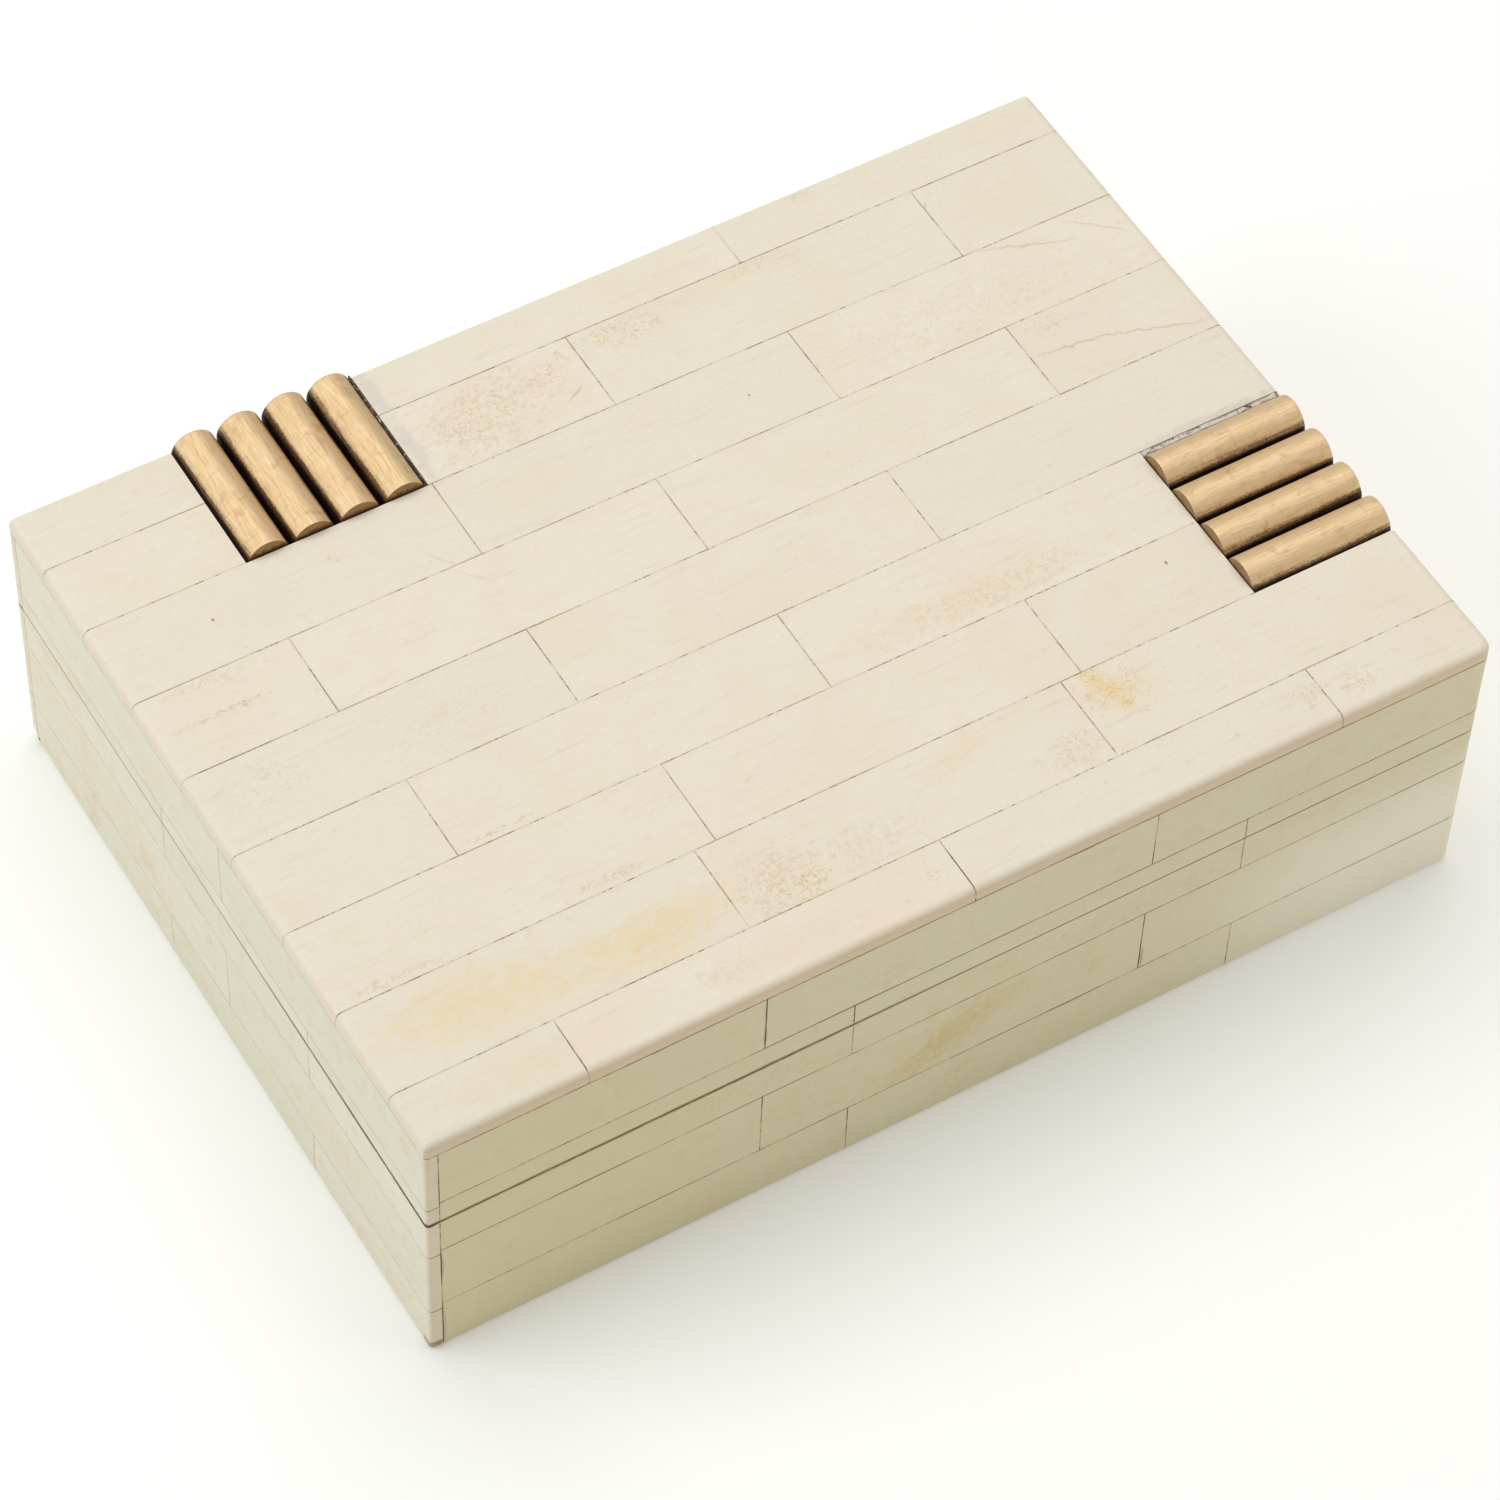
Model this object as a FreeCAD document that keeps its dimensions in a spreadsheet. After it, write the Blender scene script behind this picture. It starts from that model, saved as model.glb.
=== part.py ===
"""Bone-inlaid wooden box with a hinged lid and two groups of half-round brass rods.

The wooden carcass was clad as one closed box and then sawn round, so the lid and the base share
the row of bone that the saw passed through. Millimetres, +Z up, +X along the hinge side, +Y towards
the hinges. The origin is the centre of the felt's underside, where the box stands.
"""
import FreeCAD, Part
import Sketcher
import os

from FreeCAD import Placement, Rotation, Vector

doc = FreeCAD.newDocument("inlaid_box")

# ---------------------------------------------------------------- driving dimensions
DRIVING = {
    "box_length": (178, "over the bone, along the hinge side"),
    "box_depth": (128, "over the bone, front to back"),
    "box_height": (52, "felt's underside to the top of the bone"),
    "split_height": (32.6, "middle of the saw cut between base and lid"),
    "saw_cut": (0.3, "gap between base and lid"),
    "bone_side": (2.0, "thickness of the bone on the walls"),
    "bone_top": (2.5, "thickness of the bone on the lid"),
    "glue_line": (0.2, "width of the joint between two pieces of bone"),
    "skirt_lift": (0.3, "bone's lower edge above the felt's underside"),
    "top_round": (1.3, "rounding of the lid's upper edges"),
    "corner_round": (0.7, "rounding of the upright corners"),
    "handled_corner_round": (2.2, "rounding of the front right upright corner"),
    "foot_round": (0.5, "rounding of the bone's lowest edges"),
    "back_foot_worn_along": (5.5, "worn back left foot corner, along both walls"),
    "back_foot_worn_up": (2.4, "worn back left foot corner, up the edge"),
    "front_foot_worn_along": (1.7, "worn front right foot corner, along both walls"),
    "front_foot_worn_up": (1.3, "worn front right foot corner, up the edge"),
    "rim_worn_along": (1.8, "worn front right corner of the lid's rim, along both walls"),
    "rim_worn_up": (2.4, "worn front right corner of the lid's rim, up the edge"),
    "wall_wood": (6.0, "thickness of the walls"),
    "top_wood": (6.0, "thickness of the lid's panel"),
    "bottom_wood": (5.0, "thickness of the bottom panel"),
    "felt_thickness": (1.0, "felt under the box"),
    "felt_inset": (3.0, "felt's edge in from the bone's face"),
    "lining_thickness": (1.2, "velvet-covered card"),
    "lining_gap": (0.3, "card's edge in from the walls"),
    # bone on the lid, in rows along X counted from the hinge side
    "back_row": (9.35, "depth of the narrow first row"),
    "row_pitch": (15.5, "depth of a full row"),
    "bone_run": (61.5, "length of a full piece on the lid"),
    "front_run": (62.7, "length of a full piece in the front row"),
    "back_stub_row": (11.8, "depth of the first row left of the rods"),
    "row1_start": (31.1, "first joint of row 1, right of the rods"),
    "row2_start": (0.1, "first joint of row 2, right of the rods"),
    "row3_start": (-31.4, "first joint of row 3"),
    "row4_start": (-63.5, "first joint of row 4"),
    "row5_start": (-32.7, "first joint of row 5"),
    "row6_start": (-61.0, "first joint of row 6"),
    "row7_start": (-28.0, "first joint of row 7"),
    "row8_start": (-31.6, "first joint of row 8"),
    "row9_start": (-63.2, "first joint of the front row"),
    # bone on the walls
    "long_lid_line": (37.3, "row joint above the saw cut, front and back"),
    "long_upper_line": (25.1, "upper row joint of the base, front and back"),
    "long_lower_line": (11.3, "lower row joint of the base, front and back"),
    "end_lid_line": (36.4, "row joint above the saw cut, left and right"),
    "end_upper_line": (24.2, "upper row joint of the base, left and right"),
    "end_lower_line": (10.0, "lower row joint of the base, left and right"),
    "long_outer_start": (-34.7, "first joint of the upper and middle rows, front and back"),
    "long_outer_run": (65.2, "length of a full piece in those rows"),
    "long_cut_start": (-19.8, "first joint of the sawn and lowest rows, front and back"),
    "long_cut_run": (67.0, "length of a full piece in those rows"),
    "end_outer_start": (-3.0, "joint of the upper and middle rows, left and right"),
    "end_cut_start": (-29.0, "first joint of the sawn and lowest rows, left and right"),
    "end_cut_run": (45.2, "length of a full piece in those rows"),
    # brass rods
    "rod_radius": (3.6, "radius of the rod's crown"),
    "rod_rise": (2.1, "crown above the bone"),
    "rod_pitch": (7.58, "spacing of the rods"),
    "rod_length": (24.7, "length of a rod"),
    "rod_end_gap": (0.15, "rod's inner end to the bone"),
    "rod_short": (0.45, "end rods' outer end in from the bone's face"),
    "rod_side_gap": (0.25, "outermost rod to the bone"),
    "back_rods_middle": (-47.15, "middle of the rods on the hinge side"),
    "end_rods_middle": (-23.05, "middle of the rods on the right-hand side"),
    # hinges
    "hinge_middle": (52.0, "hinge's middle from the box's middle"),
    "hinge_length": (25.0, "length of a hinge"),
    "leaf_thickness": (1.1, "thickness of a leaf"),
    "leaf_reach": (7.4, "axis to the leaf's inner edge"),
    "axis_proud": (0.4, "axis outside the bone's back face"),
    "knuckle_radius": (1.8, "outside of the barrel"),
    "knuckle_gap": (0.1, "between two knuckles"),
    "pin_radius": (0.8, "hinge pin"),
    "fixed_bore_gap": (0.02, "pin to the base leaf's bore"),
    "running_bore_gap": (0.06, "pin to the lid leaf's bore"),
    "pin_head_radius": (1.3, "end of the pin"),
    "pin_head_length": (0.6, "end of the pin"),
    "stop_radius": (3.6, "outer edge of the stop"),
    "stop_gap": (0.2, "stop to the barrel"),
    "stop_angle": (40.0, "angle that the stop bar fills, from straight down"),
    "open_angle": (100.0, "how far the lid opens until the lugs meet the bar"),
    "barrel_relief": (0.25, "wood and bone to the barrel"),
    "mortise_gap": (0.1, "leaf's ends and inner edge to the wood"),
    "screw_spacing": (16.0, "between a leaf's two screws"),
    "screw_inset": (4.9, "hinge axis to a screw"),
    "screw_radius": (1.0, "screw's shank"),
    "screw_head_radius": (1.8, "countersunk head"),
    "screw_head_depth": (0.8, "countersunk head"),
    "screw_length": (8.0, "over the head"),
    "screw_point": (1.5, "length of the tapered point"),
    "screw_tip_radius": (0.2, "end of the point"),
    "screw_hole_gap": (0.02, "shank to the hole"),
    "slot_width": (0.5, "screwdriver slot"),
    "slot_depth": (0.4, "screwdriver slot"),
}
KNUCKLES = 5
RODS = 4
LAST_ROW = 9
FLAT = 1e-6
sheet = doc.addObject("Spreadsheet::Sheet", "Sizes")
for line, (alias, (value, note)) in enumerate(DRIVING.items(), start=1):
    sheet.set(f"A{line}", alias)
    sheet.set(f"B{line}", str(value))
    sheet.setAlias(f"B{line}", alias)
    sheet.set(f"C{line}", note)
doc.recompute()


def size(alias):
    """A driving dimension as a number, for what an expression can't say."""
    return float(sheet.get(alias))


def cell(alias):
    """A driving dimension as it is written in an expression."""
    return f"Sizes.{alias}"


# Planes of the box as expressions, worked out from the cells above.
HALF_X = f"({cell('box_length')} / 2)"
HALF_Y = f"({cell('box_depth')} / 2)"
WOOD_X = f"({HALF_X} - {cell('bone_side')})"
WOOD_Y = f"({HALF_Y} - {cell('bone_side')})"
ROOM_X = f"({WOOD_X} - {cell('wall_wood')})"
ROOM_Y = f"({WOOD_Y} - {cell('wall_wood')})"
BASE_TOP = f"({cell('split_height')} - {cell('saw_cut')} / 2)"
LID_FOOT = f"({cell('split_height')} + {cell('saw_cut')} / 2)"
PANEL_TOP = f"({cell('box_height')} - {cell('bone_top')})"
PANEL_FOOT = f"({PANEL_TOP} - {cell('top_wood')})"
FLOOR = f"({cell('felt_thickness')} + {cell('bottom_wood')})"
GLUE = cell("glue_line")
HALF_GLUE = f"({GLUE} / 2)"


# ---------------------------------------------------------------- building blocks
def box(name, x, y, z):
    """A box between the low and high expressions given for each axis."""
    made = doc.addObject("Part::Box", name)
    for side, axis, (low, high) in (("Length", "x", x), ("Width", "y", y), ("Height", "z", z)):
        made.setExpression(side, f"({high}) - ({low})")
        made.setExpression(f"Placement.Base.{axis}", low)
    return made


def both_ways(half):
    """The low and high expression of a length that is centred on the origin."""
    return f"-({half})", half


def place(made, x, y, z, rotation):
    made.Placement = Placement(Vector(), rotation)
    for axis, expression in (("x", x), ("y", y), ("z", z)):
        made.setExpression(f"Placement.Base.{axis}", expression)


def cylinder(name, radius, length, x, y, z, rotation=Rotation(), angle=None):
    made = doc.addObject("Part::Cylinder", name)
    made.setExpression("Radius", radius)
    made.setExpression("Height", length)
    if angle:
        made.setExpression("Angle", angle)
    place(made, x, y, z, rotation)
    return made


def cone(name, low_radius, high_radius, height, x, y, z):
    made = doc.addObject("Part::Cone", name)
    made.setExpression("Radius1", low_radius)
    made.setExpression("Radius2", high_radius)
    made.setExpression("Height", height)
    place(made, x, y, z, Rotation())
    return made


def fuse(name, pieces):
    made = doc.addObject("Part::MultiFuse", name)
    made.Shapes = pieces
    return made


def group(name, pieces):
    """Separate solids that are handled as one sub-part."""
    made = doc.addObject("Part::Compound", name)
    made.Links = pieces
    return made


def cut(name, base, tool):
    made = doc.addObject("Part::Cut", name)
    made.Base = base
    made.Tool = tool
    return made


def common(name, base, tool):
    made = doc.addObject("Part::Common", name)
    made.Base = base
    made.Tool = tool
    return made


def origin_plane(body, role):
    return [f for f in body.Origin.OriginFeatures if f.Role == role][0]


def pad(body, sketch, length):
    made = body.newObject("PartDesign::Pad", sketch.Name + "_pad")
    made.Profile = sketch
    made.setExpression("Length", length)
    doc.recompute()
    return made


SUBPARTS = []


def subpart(made, label):
    made.Label = label
    SUBPARTS.append(made)
    return made


# ---------------------------------------------------------------- rounded outside of base and lid
def envelope(name, low, high, rounded_face, edge_round):
    """The outside that all the bone of one half is trimmed to: a block with softened corners."""
    body = doc.addObject("PartDesign::Body", name)
    sketch = body.newObject("Sketcher::SketchObject", name + "_outline")
    sketch.AttachmentSupport = [(origin_plane(body, "XY_Plane"), "")]
    sketch.MapMode = "FlatFace"
    half_x, half_y = size("box_length") / 2, size("box_depth") / 2
    corners = [Vector(x * half_x, y * half_y) for x, y in ((-1, -1), (1, -1), (1, 1), (-1, 1))]
    for start, end in zip(corners, corners[1:] + corners[:1]):
        sketch.addGeometry(Part.LineSegment(start, end), False)
    for side in range(4):
        sketch.addConstraint(Sketcher.Constraint("Coincident", side, 2, (side + 1) % 4, 1))
    for side in (0, 2):
        sketch.addConstraint(Sketcher.Constraint("Horizontal", side))
        sketch.addConstraint(Sketcher.Constraint("Vertical", side + 1))
    sketch.addConstraint(Sketcher.Constraint("Symmetric", 0, 1, 2, 1, -1, 1))
    across = sketch.addConstraint(Sketcher.Constraint("DistanceX", 0, 1, 0, 2, 2 * half_x))
    deep = sketch.addConstraint(Sketcher.Constraint("DistanceY", 1, 1, 1, 2, 2 * half_y))
    sketch.setExpression(f"Constraints[{across}]", cell("box_length"))
    sketch.setExpression(f"Constraints[{deep}]", cell("box_depth"))
    block = pad(body, sketch, f"({high}) - ({low})")
    corner = block
    for kind, wanted in (("handled_corner_round", 1), ("corner_round", 3)):
        uprights = []
        for n, edge in enumerate(corner.Shape.Edges, start=1):
            middle = edge.CenterOfMass
            handled = middle.x > 0 and middle.y < 0
            upright = abs(edge.BoundBox.ZLength - block.Shape.BoundBox.ZLength) < FLAT
            if upright and handled == (wanted == 1):
                uprights.append(f"Edge{n}")
        rounded = body.newObject("PartDesign::Fillet", f"{name}_{kind}")
        rounded.Base = (corner, uprights[:wanted])
        rounded.setExpression("Radius", cell(kind))
        doc.recompute()
        corner = rounded
    levels = {"top": corner.Shape.BoundBox.ZMax, "bottom": corner.Shape.BoundBox.ZMin}
    flats = []
    for n, face in enumerate(corner.Shape.Faces, start=1):
        if face.BoundBox.ZLength < FLAT and abs(face.CenterOfMass.z - levels[rounded_face]) < FLAT:
            flats.append(f"Face{n}")
    edge = body.newObject("PartDesign::Fillet", name + "_edge")
    edge.Base = (corner, flats)
    edge.setExpression("Radius", edge_round)
    body.setExpression("Placement.Base.z", low)
    doc.recompute()
    return body


base_outside = envelope("base_outside", cell("skirt_lift"), BASE_TOP, "bottom", cell("foot_round"))
lid_outside = envelope("lid_outside", LID_FOOT, cell("box_height"), "top", cell("top_round"))


def worn(name, outside, x_sign, y_sign, level, wear):
    """The outside without one lower corner: everything beyond a slanting plane is gone."""
    along, up = cell(wear + "_along"), cell(wear + "_up")
    level_slope, upright_slope = 1 / size(wear + "_along"), 1 / size(wear + "_up")
    off_corner = Vector(x_sign * level_slope, y_sign * level_slope, -upright_slope)
    # The cylinder stands on the middle of the triangle that the plane leaves.
    gone = cylinder(
        name + "_corner",
        f"2 * {along}",
        along,
        f"{x_sign} * ({HALF_X} - {along} / 3)",
        f"{y_sign} * ({HALF_Y} - {along} / 3)",
        f"{level} + {up} / 3",
        Rotation(Vector(0, 0, 1), off_corner),
    )
    return cut(name, outside, gone)


base_outside = worn("base_outside_back_worn", base_outside, -1, 1, cell("skirt_lift"), "back_foot_worn")
base_outside = worn("base_outside_worn", base_outside, 1, -1, cell("skirt_lift"), "front_foot_worn")
lid_outside = worn("lid_outside_worn", lid_outside, 1, -1, LID_FOOT, "rim_worn")


# ---------------------------------------------------------------- bone
def bone_row(label, outside, *runs):
    """A row of bone; a run is its axis, its two ends, the joints between them and the other ranges."""
    pieces = []
    for axis, ends, joint_places, other in runs:
        lows = [ends[0]] + [f"{at} + {HALF_GLUE}" for at in joint_places]
        highs = [f"{at} - {HALF_GLUE}" for at in joint_places] + [ends[1]]
        for low, high in zip(lows, highs):
            ranges = dict(other)
            ranges[axis] = (low, high)
            pieces.append(box(f"{label}_piece_{len(pieces) + 1}", ranges["x"], ranges["y"], ranges["z"]))
    subpart(common(label, group(label + "_pieces", pieces), outside), label)


def joints(start, run, count):
    """Joint positions of a run: the first one and then one every full piece."""
    return [f"{cell(start)} + {step} * {cell(run)}" for step in range(count)]


def row_line(number):
    """Y of the joint behind lid row number, counted from the hinge side; row 1 ends at the back edge."""
    if number == 1:
        return HALF_Y
    return f"({HALF_Y} - {cell('back_row')} - {number - 2} * {cell('row_pitch')})"


def row_depth(number):
    """Low and high Y of a lid row, short of its joints by half the glue."""
    low = f"-{HALF_Y}" if number == LAST_ROW else f"{row_line(number + 1)} + {HALF_GLUE}"
    high = HALF_Y if number == 1 else f"{row_line(number)} - {HALF_GLUE}"
    return low, high


# The rods lie where no bone is, side by side, at the bone's own depth.
RODS_REACH = f"{(RODS - 1) / 2} * {cell('rod_pitch')}"
HALF_GROUP = f"({RODS_REACH} + {cell('rod_radius')} + {cell('rod_side_gap')})"
BACK_RODS_LEFT = f"{cell('back_rods_middle')} - {HALF_GROUP}"
BACK_RODS_RIGHT = f"{cell('back_rods_middle')} + {HALF_GROUP}"
END_RODS_LEFT = f"({HALF_X} - {cell('rod_short')} - {cell('rod_length')} - {cell('rod_end_gap')})"
STUB_LINE = f"({HALF_Y} - {cell('back_stub_row')})"

on_lid = (PANEL_TOP, cell("box_height"))
whole_row = both_ways(HALF_X)
short_row = (f"-{HALF_X}", END_RODS_LEFT)
left_of_rods = (f"-{HALF_X}", BACK_RODS_LEFT)
right_of_rods = (BACK_RODS_RIGHT, HALF_X)
stub_depths = {
    1: (f"{STUB_LINE} + {HALF_GLUE}", HALF_Y),
    2: (row_depth(2)[0], f"{STUB_LINE} - {HALF_GLUE}"),
}


def top_run(number, ends, count, depth=None):
    """One run of a lid row: where it ends, how many joints it has and which Y it fills."""
    places = joints(f"row{number}_start", "front_run" if number == LAST_ROW else "bone_run", count)
    return "x", ends, places, {"y": depth or row_depth(number), "z": on_lid}


for number, count in ((1, 1), (2, 2)):
    stub = top_run(number, left_of_rods, 0, stub_depths[number])
    bone_row(f"bone_top_row_{number}", lid_outside, stub, top_run(number, right_of_rods, count))
for number, count in ((3, 2), (4, 3), (5, 2), (8, 2), (LAST_ROW, 3)):
    bone_row(f"bone_top_row_{number}", lid_outside, top_run(number, whole_row, count))
for number, count in ((6, 2), (7, 2)):
    bone_row(f"bone_top_row_{number}", lid_outside, top_run(number, short_row, count))


def wall_levels(face):
    """The five rows of a wall from the lid down; the last value is true with the sawn row's joints."""
    lid_line, upper, lower = (f"{cell(f'{face}_{line}_line')}" for line in ("lid", "upper", "lower"))
    return [
        ("lid", 1, f"{lid_line} + {HALF_GLUE}", f"{PANEL_TOP} - {GLUE}", False),
        ("lid", 2, LID_FOOT, f"{lid_line} - {HALF_GLUE}", True),
        ("base", 1, f"{upper} + {HALF_GLUE}", BASE_TOP, True),
        ("base", 2, f"{lower} + {HALF_GLUE}", f"{upper} - {HALF_GLUE}", False),
        ("base", 3, cell("skirt_lift"), f"{lower} - {HALF_GLUE}", True),
    ]


# First joint, full piece and number of joints, by kind of wall and whether they are the sawn row's.
WALL_JOINTS = {
    ("long", True): ("long_cut_start", "long_cut_run", 2),
    ("long", False): ("long_outer_start", "long_outer_run", 2),
    ("end", True): ("end_cut_start", "end_cut_run", 2),
    ("end", False): ("end_outer_start", "end_cut_run", 1),
}

# At each upright corner one wall's bone covers the end of the next, in turn round the box.
WALLS = {
    "front": ("long", "x", (f"-{WOOD_X} + {GLUE}", HALF_X), "y", (f"-{HALF_Y}", f"-{WOOD_Y}")),
    "right": ("end", "y", (f"-{WOOD_Y} + {GLUE}", HALF_Y), "x", (WOOD_X, HALF_X)),
    "back": ("long", "x", (f"-{HALF_X}", f"{WOOD_X} - {GLUE}"), "y", (WOOD_Y, HALF_Y)),
    "left": ("end", "y", (f"-{HALF_Y}", f"{WOOD_Y} - {GLUE}"), "x", (f"-{HALF_X}", f"-{WOOD_X}")),
}


def back_relief(name, low, high):
    """What a hinge takes out of the wood and the bone between two levels: leaf, barrel and screws."""
    tools = []
    for side, sign in (("left", "-"), ("right", "")):
        middle = f"{sign}{cell('hinge_middle')}"
        half = f"({cell('hinge_length')} / 2 + {cell('pin_head_length')} + {cell('mortise_gap')})"
        leaf_half = f"({cell('hinge_length')} / 2 + {cell('mortise_gap')})"
        inner = f"{AXIS_Y} - {cell('leaf_reach')} - {cell('mortise_gap')}"
        leaf_x = (f"{middle} - {leaf_half}", f"{middle} + {leaf_half}")
        tools.append(box(f"{name}_{side}_leaf", leaf_x, (inner, AXIS_Y), (low, high)))
        barrel = cylinder(
            f"{name}_{side}_barrel",
            f"{cell('knuckle_radius')} + {cell('barrel_relief')}",
            f"2 * {half}",
            f"{middle} - {half}",
            AXIS_Y,
            cell("split_height"),
            ALONG_X,
        )
        tools.append(barrel)
    return tools


ALONG_X = Rotation(Vector(0, 1, 0), 90)
AXIS_Y = f"({HALF_Y} + {cell('axis_proud')})"
BASE_LEAF = (f"{BASE_TOP} - {cell('leaf_thickness')}", BASE_TOP)
LID_LEAF = (LID_FOOT, f"{LID_FOOT} + {cell('leaf_thickness')}")


def screw_places():
    """Name, X and Y of each hinge screw."""
    places = []
    for side, sign in (("left", "-"), ("right", "")):
        for end, way in (("outer", "-"), ("inner", "+")):
            x = f"({sign}{cell('hinge_middle')} {way} {cell('screw_spacing')} / 2)"
            places.append((f"{side}_{end}", x, f"({AXIS_Y} - {cell('screw_inset')})"))
    return places


def screw_holes(name, low, high):
    radius = f"{cell('screw_radius')} + {cell('screw_hole_gap')}"
    depth = f"({high}) - ({low})"
    return [cylinder(f"{name}_{end}", radius, depth, x, y, low) for end, x, y in screw_places()]


base_relief = fuse("base_relief", back_relief("base_mortise", BASE_LEAF[0], BASE_LEAF[1]))
lid_relief = fuse("lid_relief", back_relief("lid_mortise", LID_LEAF[0], LID_LEAF[1]))
base_holes = screw_holes("base_hole", f"{BASE_TOP} - {cell('screw_length')}", BASE_TOP)
lid_holes = screw_holes("lid_hole", LID_FOOT, f"{LID_FOOT} + {cell('screw_length')}")

for wall, (kind, axis, ends, through, thickness) in WALLS.items():
    for half, number, low, high, as_sawn in wall_levels(kind):
        run = joints(*WALL_JOINTS[kind, as_sawn])
        label = f"bone_{half}_{wall}_row_{number}"
        outside = lid_outside if half == "lid" else base_outside
        if wall == "back" and (half, number) in (("lid", 2), ("base", 1)):
            relief = lid_relief if half == "lid" else base_relief
            outside = cut(label + "_trim", outside, relief)
        bone_row(label, outside, (axis, ends, run, {through: thickness, "z": (low, high)}))

# ---------------------------------------------------------------- wooden carcass
base_walls = (FLOOR, BASE_TOP)
lid_walls = (LID_FOOT, PANEL_FOOT)
full_x, full_y = both_ways(WOOD_X), both_ways(WOOD_Y)
front_y, back_y = (f"-{WOOD_Y}", f"-{ROOM_Y}"), (ROOM_Y, WOOD_Y)
left_x, right_x = (f"-{WOOD_X}", f"-{ROOM_X}"), (ROOM_X, WOOD_X)

subpart(box("base_bottom_panel", full_x, full_y, (cell("felt_thickness"), FLOOR)), "base_bottom_panel")
subpart(box("lid_top_panel", full_x, full_y, (PANEL_FOOT, PANEL_TOP)), "lid_top_panel")
back_tools = {"base": [base_relief, *base_holes], "lid": [lid_relief, *lid_holes]}
for half, noun, levels in (("base", "board", base_walls), ("lid", "rail", lid_walls)):
    subpart(box(f"{half}_front", full_x, front_y, levels), f"{half}_front_{noun}")
    subpart(box(f"{half}_left", left_x, both_ways(ROOM_Y), levels), f"{half}_left_{noun}")
    subpart(box(f"{half}_right", right_x, both_ways(ROOM_Y), levels), f"{half}_right_{noun}")
    relief = fuse(f"{half}_back_relief", back_tools[half])
    blank = box(f"{half}_back_blank", full_x, back_y, levels)
    subpart(cut(f"{half}_back", blank, relief), f"{half}_back_{noun}")

# ---------------------------------------------------------------- linings and felt
lining_x = both_ways(f"({ROOM_X} - {cell('lining_gap')})")
lining_y = both_ways(f"({ROOM_Y} - {cell('lining_gap')})")
on_floor = (FLOOR, f"{FLOOR} + {cell('lining_thickness')}")
under_panel = (f"{PANEL_FOOT} - {cell('lining_thickness')}", PANEL_FOOT)
subpart(box("floor_lining", lining_x, lining_y, on_floor), "base_floor_lining")
subpart(box("lid_lining", lining_x, lining_y, under_panel), "lid_lining")
felt_x = both_ways(f"({HALF_X} - {cell('felt_inset')})")
felt_y = both_ways(f"({HALF_Y} - {cell('felt_inset')})")
subpart(box("felt", felt_x, felt_y, ("0", cell("felt_thickness"))), "base_felt")


# ---------------------------------------------------------------- brass rods
def rod(label, x, y, turn):
    """A half-round brass rod with short straight flanks, lying along its own +Y."""
    body = doc.addObject("PartDesign::Body", label + "_body")
    sketch = body.newObject("Sketcher::SketchObject", label + "_profile")
    sketch.AttachmentSupport = [(origin_plane(body, "XZ_Plane"), "")]
    sketch.MapMode = "FlatFace"
    radius = size("rod_radius")
    flank = size("bone_top") + size("rod_rise") - radius
    low_left, low_right = Vector(-radius, 0), Vector(radius, 0)
    high_left, high_right, crown = Vector(-radius, flank), Vector(radius, flank), Vector(0, flank + radius)
    sketch.addGeometry(Part.LineSegment(low_left, low_right), False)
    sketch.addGeometry(Part.LineSegment(low_right, high_right), False)
    sketch.addGeometry(Part.Arc(high_right, crown, high_left), False)
    sketch.addGeometry(Part.LineSegment(high_left, low_left), False)
    sketch.addConstraint(Sketcher.Constraint("Coincident", 0, 2, 1, 1))
    sketch.addConstraint(Sketcher.Constraint("Tangent", 1, 2, 2, 1))
    sketch.addConstraint(Sketcher.Constraint("Tangent", 2, 2, 3, 1))
    sketch.addConstraint(Sketcher.Constraint("Coincident", 3, 2, 0, 1))
    sketch.addConstraint(Sketcher.Constraint("Vertical", 1))
    sketch.addConstraint(Sketcher.Constraint("Vertical", 3))
    sketch.addConstraint(Sketcher.Constraint("Symmetric", 0, 1, 0, 2, -1, 1))
    arc_radius = sketch.addConstraint(Sketcher.Constraint("Radius", 2, radius))
    flank_height = sketch.addConstraint(Sketcher.Constraint("DistanceY", 1, 1, 1, 2, flank))
    sketch.setExpression(f"Constraints[{arc_radius}]", cell("rod_radius"))
    rise = f"{cell('bone_top')} + {cell('rod_rise')} - {cell('rod_radius')}"
    sketch.setExpression(f"Constraints[{flank_height}]", rise)
    bar = pad(body, sketch, cell("rod_length"))
    bar.Reversed = True
    place(body, x, y, PANEL_TOP, Rotation(Vector(0, 0, 1), turn))
    subpart(body, label)


rod_steps = [f"{n - (RODS - 1) / 2} * {cell('rod_pitch')}" for n in range(RODS)]
back_inner_end = f"{row_line(3)} + {cell('rod_end_gap')}"
end_inner_end = f"{END_RODS_LEFT} + {cell('rod_end_gap')}"
for number, step in enumerate(rod_steps, start=1):
    rod(f"brass_rod_back_{number}", f"{cell('back_rods_middle')} + {step}", back_inner_end, 0)
for number, step in enumerate(rod_steps, start=1):
    rod(f"brass_rod_end_{number}", end_inner_end, f"{cell('end_rods_middle')} - {step}", -90)


# ---------------------------------------------------------------- hinges
def knuckle_spans():
    """Start and length of each knuckle along X, measured from the hinge's middle."""
    pitch = f"({cell('hinge_length')} / {KNUCKLES})"
    spans = []
    for number in range(KNUCKLES):
        low = f"-{cell('hinge_length')} / 2 + {number} * {pitch} + {cell('knuckle_gap')} / 2"
        spans.append((low, f"({pitch} - {cell('knuckle_gap')})"))
    return spans


def barrel_piece(name, radius, span, middle, angle=None, turn=0):
    """A cylinder or a wedge of one about the hinge axis, over one span of it."""
    rotation = Rotation(Vector(1, 0, 0), turn).multiply(ALONG_X)
    start, length = span
    place_x = f"{middle} + {start}"
    return cylinder(name, radius, length, place_x, AXIS_Y, cell("split_height"), rotation, angle)


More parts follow.
